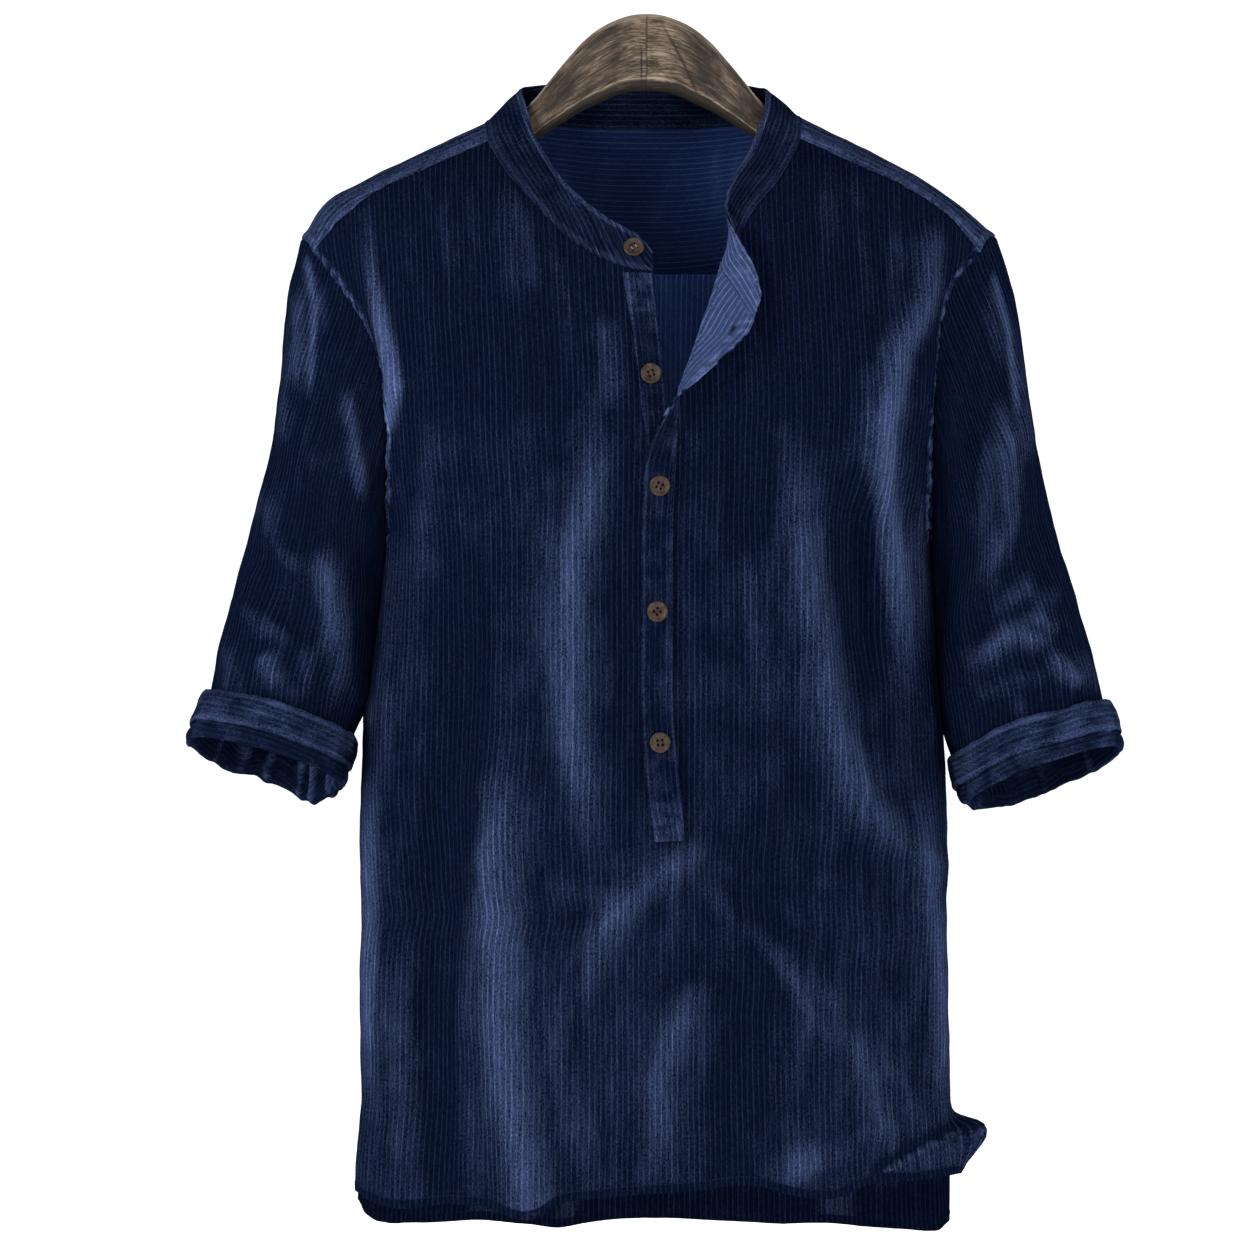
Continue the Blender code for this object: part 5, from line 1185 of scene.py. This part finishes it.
def cuffCloth(sleeve):
    piece, angles, seed = sleeve.piece, sleeve.angles, sleeve.piece["seed"]
    start, last, tall = sleeve.start, sleeve.last, sleevePieces["cuffHeight"]
    profile = along(np.array(sleevePieces["cuff"], float) * (1, tall), 60)
    out, down = profile[:, 0], profile[:, 1] / tall
    wave = np.array([noise.noise(Vector((math.cos(a) * 1.3 + seed, math.sin(a) * 1.3, 0)))
                     for a in angles])
    drop = sum(fall * bell(angles, place, wide) for place, wide, fall in piece["sag"])
    rolls = sum(height * bell(angles + 0.06 * np.sin(angles * 9), place, wide)
                for place, wide, height in piece["rolls"])
    inner, low = ease(-out, 0.0, 0.8), ease(down, 0.55, 1.0)
    loops = []
    for k in range(len(profile)):
        at = np.minimum(start + (last - start) * (down[k] + wave * 0.07), last + 0.05)
        points, outward, _ = sleeve.ring(at)
        points = points + outward * (out[k] - rolls * inner[k])[:, None]
        points[:, 2] -= (drop + rolls * 0.5) * low[k]
        loops.append(points)
    loops = sleeve.turned(np.array(loops), 1)
    weight = 0.55 * ease(out, 0.6, 3.0) + 0.6 * ease(-out, 0.2, 0.9)
    uneven = rumple(loops, (14, seed + 5, 2.4), (5.5, seed + 9, 1.3)) * weight[:, None]
    u, v = ringMap(loops, sleeve.crest)
    outer = ease(out, 2.0, 3.2)
    # painted highlights along the cuff's fold edges and outer bulge, painted shade just below them and on
    # the inner side; pleats get a highlight with a shadow beside it, rolls inside are lighter
    bend = ease(out, 4.0, 5.4) * 0.08 - ease(-out, -0.5, 0.5) * 0.09
    bend = bend + outer * (0.20 * bell(down, 0.02, 0.05) + 0.22 * bell(down, 0.60, 0.04)
                           - 0.05 * bell(down, 0.68, 0.03))
    pleats = sum(bell(angles, place, 0.05) - bell(angles, place + 0.11, 0.06)
                 for place in piece["pleats"])
    pleats = outer[:, None] * sleeve.turned(pleats)
    worn = bend[:, None] + 0.12 * sleeve.turned(rolls) * inner[:, None] + pleats * 0.10
    cloth = sleeve.cloth("cuff", loops, np.stack([v, u], -1),
                         piece["cuffWearAndLight"] + uneven * 0.10 + worn, sleeve.side == "left")
    cloth.raised(uneven + pleats * 0.5)
    return cloth


# ---- collar band and plackets

collarPiece = {
    # seam's x, y, z and top edge's x, y, z, from the button end round the neck to the twist
    "band": [
        (4, -72, -170, 3, -71, -158), (-6, -71.5, -169, -3.5, -68, -149),
        (-18, -70, -165.5, -11, -65, -144), (-38, -66, -155.5, -28, -59, -133.6),
        (-55.5, -60, -142, -46, -52, -118.5), (-70, -52, -126, -57, -42, -105),
        (-85, -41, -109, -66, -31, -90), (-94, -29, -94, -73, -20, -76), (-100, -18, -82, -76, -13, -62),
        (-102, -2, -70, -80, 3, -49), (-97, 16, -68, -76, 18, -45), (-82, 33, -67, -68, 30, -42.5),
        (-58, 46, -67, -50, 41, -39.5), (-30, 53, -68, -26, 47.5, -38.5), (-2, 55, -68, -2, 50, -38.5),
        (28, 53, -68, 23, 47.5, -38.5), (55, 46, -67, 47, 41, -39.5), (79, 33, -66, 64, 30, -42.5),
        (93, 16, -66, 72, 18, -46), (98, -2, -67, 76, 3, -49), (97, -16, -80, 75, -13, -63),
        (91, -32, -94, 70, -20, -78), (80.5, -43, -112, 63, -31, -95), (70, -50, -124.6, 55, -38, -108),
        (62.3, -56, -134.6, 50, -46, -120)],
    "turned": [(57, -71.5, -147, 49.5, -62, -131), (50, -76, -158.5, 52, -75, -140)],
    "turnedTop": [(58, -82, -152), (64, -86, -163), (69, -89, -175), (71, -91, -187)],
    "rows": 15, "columns": 250,
    "turn": math.radians(44),      # the cut's slant to the stripes at the button end
}


def onFront(x, z, lift):
    # Points and normals in front of the front panel, as seen at x and z
    x, z, lift = np.broadcast_arrays(*(np.asarray(v, float) for v in (x, z, lift)))
    t = placeAcross(frontPiece["sections"], x, z)

    def at(t, z):
        return panelPoints(frontPiece, t, z)[0]

    point = at(t, z)
    normal = unit(np.cross(at(t + 0.004, z) - at(t - 0.004, z), at(t, z + 1) - at(t, z - 1)))
    point = point + normal * (unevenness(frontPiece, point) * 0.9)[..., None]
    return point + normal * lift[..., None], normal


def collarCloth(yoke, turnedLine):
    piece, side, front = collarPiece, yokePiece["shoulderSteps"], yokePiece["frontSteps"]
    rightColumn = yoke.points.shape[1] - 1 - side
    right = along(frontPiece["rightNeck"], 48)[16:][::-1]
    seam = np.concatenate([
        onPanel(frontPiece, along(frontPiece["leftNeck"], 60)[::-1])[:-1],
        yoke.points[:front, side], yoke.points[front, side:rightColumn + 1],
        yoke.points[:front, rightColumn][::-1], onPanel(frontPiece, right)[1:]])
    table, turned = np.array(piece["band"], float), np.array(piece["turned"], float)
    tableRun, run = runOf(table[:, :3]), runOf(seam)
    top = curve(run / run[-1], tableRun / tableRun[-1], table[:, 3:])
    seam = np.concatenate([seam, turned[:, :3], turnedLine])
    both = np.hstack([seam, np.concatenate([top, turned[:, 3:], piece["turnedTop"]])])
    run = runOf(seam)
    # ease the corners of the control points
    both = evened(curve(np.linspace(0, run[-1], piece["columns"]), run, both), 3)
    share = np.linspace(-0.05, 1, piece["rows"])[:, None]
    rise = both[:, 3:] - both[:, :3]
    points = both[:, :3] + rise * share[..., None]
    heights = np.linalg.norm(rise, axis=1) * share
    length = runOf(points[len(points) // 2])
    slant = piece["turn"] * (1 - ease(length, 20, 130))
    climb = np.r_[0, np.cumsum(np.sin(slant[1:]) * np.diff(length))]
    uv = np.stack([heights * np.cos(slant) - climb, length - heights * np.sin(slant)], -1)
    uneven = rumple(points, (17, 8.8, 0.7), (7, 2.2, 0.3))
    # painted highlights: a light line along the top edge and one just above the seam; crumples are
    # painted lighter too
    edge = bell(share, 0.95, 0.05) * 0.35
    shape = np.sin(np.clip(share, 0, 1) * math.pi) * 0.9 + edge + 0.75 * (1 - ease(share, 0, 0.12))
    crumple = rumple(points * (1, 1, 1.6), (5.5, 3.1, 1)) + rumple(points, (3.0, 9.2, 0.6))
    crumple = crumple * (0.4 + share) * ease(length, run[-1] * 0.80, run[-1] * 0.86)
    seamHighlight = bell(share, 0.06, 0.05) * 0.14
    cloth = Cloth("collarBand", points, uv, 0.03 + uneven * 0.06 + edge * 0.9 + seamHighlight
                  + crumple * 0.8, wall=1.3, flip=True)
    cloth.raised((uneven * 0.8 + shape) * (1 - ease(length, run[-1] * 0.80, run[-1] * 0.84)))
    return cloth


placketPieces = {
    # fixed edge's x, z and lift, free edge's x, z and lift, upwards
    "under": [
        (-15.3, -171.5, 1.6, 3.6, -172, 1.6), (-9.5, -210, 1.6, 8, -210, 1.6),
        (-5, -246, 1.6, 11.5, -246, 1.6), (0, -280, 1.6, 13.5, -280, 1.6), (1, -400, 1.6, 14, -400, 1.6),
        (8, -520, 1.6, 20, -520, 1.6)],
    "over": [
        (23, -526, 3.2, 5, -526, 3.2), (21.5, -500, 3.2, 0.6, -500, 3.2),
        (17.5, -463, 3.2, -2.3, -463, 3.2), (15.5, -375, 3.2, -2.8, -375, 3.2),
        (16.5, -313, 3.2, -2.5, -313, 3.9), (18, -288, 3.2, -0.5, -288, 5.2),
        (18.5, -274, 3.2, 3.2, -276, 7.6), (18.5, -262, 3.6, 9, -264, 12.1),
        (18.5, -250, 4, 18, -250, 15.6), (21, -240, 4, 29, -240, 15.6), (26.3, -226, 4, 42, -230, 14.6),
        (33.3, -205, 4, 60, -213, 13.7), (39.5, -187, 4, 63.5, -208, 13.3),
        (45, -169, 4, 65, -203.5, 12.9)],
    "rows": 180, "columns": 14,
}


def stripCloth(name, table, flip, seed):
    rows = np.array(table, float)
    run = runOf((rows[:, :2] + rows[:, 3:5]) / 2)
    at = np.linspace(0, run[-1], placketPieces["rows"])
    edges = curve(at, run, rows)[:, None]
    across = np.linspace(0, 1, placketPieces["columns"])
    mix = edges[..., :3] + (edges[..., 3:] - edges[..., :3]) * across[:, None]
    points, _ = onFront(*np.moveaxis(mix, -1, 0))
    u = runOf(points, 1)
    u = u - u[:, -1:]
    uneven = rumple(points, (12, seed, 0.35), (5, seed, 0.12))
    edge = bell(np.abs(across - 0.5), 0.42, 0.07)
    # the turned part is crumpled, most along its free edge, and painted lighter where it faces the light
    loose = ease(mix[..., 2], 9, 13) * (0.35 + 0.65 * across)
    box = 0.35 - 0.35 * ease(at, 23, 26)[:, None] + 0 * across
    crumple = rumple(points * (1, 1, 1.6), (6.5, seed + 2, 1)) + rumple(points, (3.2, seed, 0.6))
    crumple = crumple * np.maximum(loose, box * 0.3)
    # painted highlights along both edges, on the turned part and on crumples; lighter near the strip's
    # start
    worn = 0.02 + uneven * 0.2 + edge * 0.07 + loose * 0.25 + box * 0.20
    cloth = Cloth(name, points, np.stack([u, at[:, None] + 0 * u], -1),
                  worn + crumple * (0.8 + loose * 0.9), flip=flip, wall=1.1)
    cloth.raised(uneven + edge * 0.15 + crumple * 0.5)
    return cloth


# ---- buttons

buttonPiece = {
    "seats": [(2.5, -235, 1.6, 20), (7.8, -304.5, 3.2, -25), (6.4, -382.4, 3.2, 40),
              (8.1, -464, 3.2, 5)],               # x, z, lift of what it is sewn to, turn
    "bandX": -8.5, "bandShare": 0.55, "bandTurn": 30, "gap": 0.5,
    # radius and height, from the middle of the face to the middle of the back
    "profile": [(2.6, 1.5), (3.9, 1.62), (4.5, 1.85), (4.9, 2.2), (5.3, 2.38), (5.75, 2.4),
                (6.1, 2.25), (6.35, 1.9), (6.4, 1.5), (6.3, 0.95), (5.95, 0.42), (5.3, 0.12),
                (4.6, 0.0)],
    "sides": 56, "hole": 0.85, "holeOffset": 1.45,
}


def cutAway(thing, cutter):
    modifier = thing.modifiers.new(cutter.name, "BOOLEAN")
    modifier.operation, modifier.solver, modifier.object = "DIFFERENCE", "EXACT", cutter


def roundCutter(radius, length, sides, place=(0, 0, 0)):
    shape, mesh = bmesh.new(), bpy.data.meshes.new("cutter")
    bmesh.ops.create_cone(shape, cap_ends=True, segments=sides, radius1=radius * mm,
                          radius2=radius * mm, depth=length * mm)
    shape.to_mesh(mesh)
    shape.free()
    return placed("cutter", mesh, Vector(place) * mm)


def settle(thing, cutters, angle):
    # Replace a thing's mesh by its evaluated one and remove the cutters
    ready = thing.evaluated_get(bpy.context.evaluated_depsgraph_get())
    mesh = bpy.data.meshes.new_from_object(ready)
    thing.modifiers.clear()
    thing.data = mesh
    for cutter in cutters:
        bpy.data.objects.remove(cutter, do_unlink=True)
    mesh.shade_smooth()
    mesh.set_sharp_from_angle(angle=math.radians(angle))
    return mesh


def buttonMesh(finish):
    piece, sides, off = buttonPiece, buttonPiece["sides"], buttonPiece["holeOffset"]
    vertices = [(radius * math.cos(angle), radius * math.sin(angle), height)
                for radius, height in piece["profile"]
                for angle in 2 * math.pi * np.arange(sides) / sides]
    faces = []
    for a in range(0, len(vertices) - sides, sides):
        for k in range(sides):
            b, m = a + sides, (k + 1) % sides
            faces.append((a + k, b + k, b + m, a + m))
    faces += [tuple(range(sides)), tuple(len(vertices) - 1 - k for k in range(sides))]
    blank = meshThing("buttonBlank", vertices, faces, finish)
    cutters = [roundCutter(piece["hole"], 8, 20, (a, b, 0)) for a in (-off, off)
               for b in (-off, off)]
    for cutter in cutters:
        cutAway(blank, cutter)
    mesh = settle(blank, cutters, 40)
    bpy.data.objects.remove(blank, do_unlink=True)
    return mesh


def makeButtons(collar):
    # Places, then one button with its sewing at each
    piece, mesh, off = buttonPiece, buttonMesh(hornFinish()), buttonPiece["holeOffset"]
    row = 1 + int(round(piece["bandShare"] * (collar.points.shape[0] - 2)))
    column = int(np.argmin(np.abs(collar.points[row, :100, 0] - piece["bandX"])))
    point, normal = collar.trace([row], [column])
    places = [(point[0] + normal[0] * piece["gap"], normal[0], piece["bandTurn"])]
    for x, z, lift, turn in piece["seats"]:
        point, normal = onFront([x], [z], [lift + 0.55 + piece["gap"]])
        places.append((point[0], normal[0], turn))
    for number, (seat, normal, turn) in enumerate(places, start=1):
        upright = Vector((0, 0, 1)).rotation_difference(Vector(normal)).to_matrix().to_4x4()
        spin = Matrix.Rotation(math.radians(turn), 4, "Z")
        stand = Matrix.Translation(Vector(seat) * mm) @ upright @ spin
        button = placed(f"button{number}", mesh.copy())
        button.data.transform(stand)
        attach(button, "root")
        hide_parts(f"button_{number}")
        thread = Thread(f"buttonThread{number}")
        for across in (-off - 0.2, -off + 0.2, off - 0.2, off + 0.2):
            ends = (np.array(stand @ (Vector((across, end, 1.4)) * mm)) / mm for end in (-off, off))
            thread.bar(*ends, normal, 0.15, 0.6)
        thread.build(paleThread if number == 1 else darkThread)


# ---- hanger

hangerPiece = {
    # distance from the middle, top, bottom and half depth
    "arm": [
        (0.03, 0, -49.3, 10.5), (8, -0.6, -49.5, 10.5), (19, -3.8, -51.8, 10.5), (31, -10, -57.5, 10.5),
        (39.5, -16.8, -61.2, 10.5), (51, -29.4, -67.8, 10.5), (61.5, -42, -74.5, 10.5),
        (72, -55, -81, 9.6), (84, -66, -88.5, 9), (102, -75, -97, 9), (128, -84, -107, 9),
        (156, -96.8, -118.5, 9), (178, -110, -130, 8), (192, -121, -137, 6.5), (199, -129, -139, 4)],
    # half of a section from the top round the front, as shares of half depth and half height
    "outline": [
        (0, 1), (-0.35, 0.985), (-0.62, 0.94), (-0.82, 0.85), (-0.94, 0.72), (-0.985, 0.58), (-1, 0.3),
        (-1, 0), (-1, -0.3), (-1, -0.6), (-0.99, -0.74), (-0.9, -0.775), (-0.9, -0.79), (-0.94, -0.82),
        (-0.85, -0.9), (-0.62, -0.96), (-0.34, -0.99), (0, -1)],
    "crack": {1: [(10, -8), (18, -22), (26, -38), (34, -56)],
              -1: [(-3, -44), (-3.4, -30), (-3, -22)]},
    "holeRadius": 2.2, "holeDepth": 16, "holeSides": 24,
    "stations": 230, "around": 44,
    "mapSize": (10, 22), "girth": 66.0,               # of a section on the map
}


def makeHanger(finish):
    piece = hangerPiece
    hole = roundCutter(piece["holeRadius"], 2 * piece["holeDepth"], piece["holeSides"])
    fine = along(np.array(piece["outline"]) * (1, 2), piece["around"]) / (1, 2)
    ring = np.concatenate([fine, (fine * (-1, 1))[1:-1][::-1]])
    ringRun = np.r_[runOf(ring * piece["mapSize"]), piece["girth"]]
    run = runOf(np.array(piece["arm"])[:, :2])
    at = np.linspace(0, run[-1], piece["stations"])
    index = np.arange(len(at) * len(ring)).reshape(len(at), -1)
    mapped = np.stack(np.broadcast_arrays(at[:, None], ringRun), -1)
    x, top, bottom, depth = curve(at, run, piece["arm"]).T[:, :, None]
    inFront, height = ring[:, 0] < 0, ring[:, 1]
    for side, sign in (("Left", -1), ("Right", 1)):
        lip = 0.2 * bell(x, 0.1, 0.25)                       # eased edges at the joint
        y = ring[:, 0] * (depth - lip)
        z = (top + bottom) / 2 + height * ((top - bottom) / 2 - lip)
        points = np.stack([sign * x + 0 * y, y, z], -1)
        points[..., 1] += np.sign(y) * rumple(points * (0.25, 1, 1), (7, 41.0 * sign, 0.22))
        crack = [(piece["crack"][sign], 0.6, 1.0, 0.6, 0.3)]
        crack = foldHeight(crack, points[..., 0], points[..., 2]) * (y < 0)
        # painted highlights along the top edge and the front bevel's upper line; painted shade in the
        # bevel groove and on the underside; cracks and the joint are dark marks
        rim = bell(height, 0.93, 0.10) * 0.9 + bell(height, -0.72, 0.03) * inFront
        paintedUnderShade = bell(height, -0.783, 0.02) * inFront + ease(-height, 0.79, 0.82) * 0.35
        worn = (rim + 0.45 * bell(x, 0, 24) - 0.15 + 0 * y - crack * 0.9 - paintedUnderShade * 2.4
                - bell(x, 0.1, 0.4) * 0.5)
        faces, uv = (cornersOf(grid)[:, :, ::sign] for grid in (closedUp(index), mapped))
        faces = faces.reshape(-1, 4).tolist() + [index[0, ::-sign].tolist(),
                                                 index[-1, ::sign].tolist()]
        uv = np.concatenate([uv.reshape(-1, 2), mapped[0, :-1][::-sign], mapped[0, :-1][::sign]])
        uv = uv + (0, 100 if sign > 0 else 0)         # the grain differs from arm to arm
        arm = meshThing("hanger" + side, points.reshape(-1, 3), faces, finish, 50, uv,
                        worn.ravel())
        cutAway(arm, hole)
        settle(arm, [], 50)
        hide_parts("hanger_" + side.lower())
    bpy.data.objects.remove(hole, do_unlink=True)


# ---- sewing lines

def sew(name, cloth, *lines):
    # Each line's edge and distance from it, and its side and span where they aren't the usual
    thread = Thread(name + "Stitches")
    for line in lines:
        thread.line(*cloth.inset(*line))
    return thread


def sewStrip(name, cloth, *lines):
    # Each line's first and last row, first and last column, and side
    thread = Thread(name + "Stitches")
    for rows, columns, side in lines:
        thread.line(*cloth.trace(np.linspace(*rows, 60), np.linspace(*columns, 60), side))
    return thread


def buttonhole(thread, slitShade, cloth, row, column, long, side):
    # Satin bars on both sides of a slit along the strip
    steps = int(long / 0.55)
    points, normals = cloth.trace([row, row + 1], [column] * 2, side)
    middle, normal = points[0], normals[0]
    way = unit(points[1] - middle)
    over = unit(np.cross(normal, way))
    for k in range(steps + 1):
        centre = middle + way * (k / steps - 0.5) * long
        for s in (-1, 1):
            thread.bar(centre + over * s * 0.25, centre + over * s * 1.35, normal, 0.24)
    for s in (-1, 1):
        end = middle + way * s * (long / 2 + 0.3)
        thread.bar(end - over * 1.3, end + over * 1.3, normal, 0.36)
    # the cut is a dark sunken bar: painted shade in the slit
    slitShade.bar(middle - way * long * 0.48, middle + way * long * 0.48, normal, 0.3, -0.3)


# ---- the whole shirt

front = frontCloth()
back = backCloth(front)
yoke = yokeCloth()
over = stripCloth("overPlacket", placketPieces["over"], True, 6.1)
under = stripCloth("underPlacket", placketPieces["under"], False, 15.7)
collar = collarCloth(yoke, over.points[-1, [0, 4, 9, 13]])
print("stage: body, yoke, plackets and collar")

cloths = {
    "front_panel": front, "back_panel": back, "back_yoke": yoke, "collar_band": collar,
    "under_placket": under, "over_placket": over,
}
trees = [surfaceTree(front), surfaceTree(back)]
armpit = yokePiece["frontSteps"] + len(front.points) - 1 - armpitRow      # its place in the loop
for side, column in (("left", 0), ("right", -1)):
    loop, normals, inward = armholeLoop(front, back, yoke, column)
    sleeve = Sleeve(side, loop, armpit)
    cloths["sleeve_" + side] = sleeveCloth(sleeve, loop, normals, inward, trees)
    cloths["cuff_" + side] = cuffCloth(sleeve)
overlapYoke(yoke)
print("stage: sleeves and cuffs")

finishes = {name: clothFinish(name, *colours) for name, colours in clothColours.items()}
# the first row and column whose inner side is shown in another finish
turnedFrom = {"back_panel": (armpitRow, 0), "back_yoke": (0, 0),
              "collar_band": (0, int(collarPiece["columns"] * 0.77)),
              "over_placket": (int(placketPieces["rows"] * 0.45), 0)}
for node, cloth in cloths.items():
    cloth.build(finishes["rolledPinstripe" if node.startswith("cuff") else "navyPinstripe"],
                finishes.get(node, finishes["paleWrongSide"]), turnedFrom.get(node))
    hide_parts(node)

armholes = [(edge, amount) for edge in ("first", "last") for amount in (1.3, 6.0)]
body = [("bottom", 5.6)] + [(*line, 1, (armpitRow / (len(front.points) - 1), 1))
                            for line in armholes]
shoulder = yokePiece["shoulderSteps"] / (yoke.points.shape[1] - 1)
buttoned = (0, 0.86)                              # the band's share before its turned end
last, rows = placketPieces["columns"] - 1, placketPieces["rows"]
whole = (2, rows - 2)
sewing = {
    "front_panel": sew("front", front, *body),
    "back_panel": sew("back", back, *body),
    "back_yoke": sew("yoke", yoke, ("top", 1.6), ("top", 1.6, -1),
                     ("bottom", 1.6, 1, (0, shoulder)), ("bottom", 1.6, 1, (1 - shoulder, 1)),
                     *armholes),
    "collar_band": sew("collar", collar, ("bottom", 2.2, 1, buttoned), ("bottom", 2.2, -1),
                       ("top", 2.0, -1), ("top", 2.0, 1, buttoned)),
    "over_placket": sewStrip("over", over, *((whole, (at, at), side) for side in (1, -1)
                                             for at in (1.1, last - 1.1)),
                             *(((at, at), (1.1, last - 1.1), 1) for at in (1.5, 12.5))),
    "under_placket": sewStrip("under", under, *((whole, (at, at), 1) for at in (1.2, last - 1.2))),
}
slitShades = Thread("buttonholeSlitShades")
buttonhole(sewing["over_placket"], slitShades, over, 167, 9.0, 6, -1.0)
stitches = {node: [thread.build(navyThread)] for node, thread in sewing.items()}
stitches["over_placket"].append(slitShades.build(darkThread))
print("stage: sewing")

makeButtons(collar)
makeHanger(woodFinish())
print("stage: buttons and hanger")
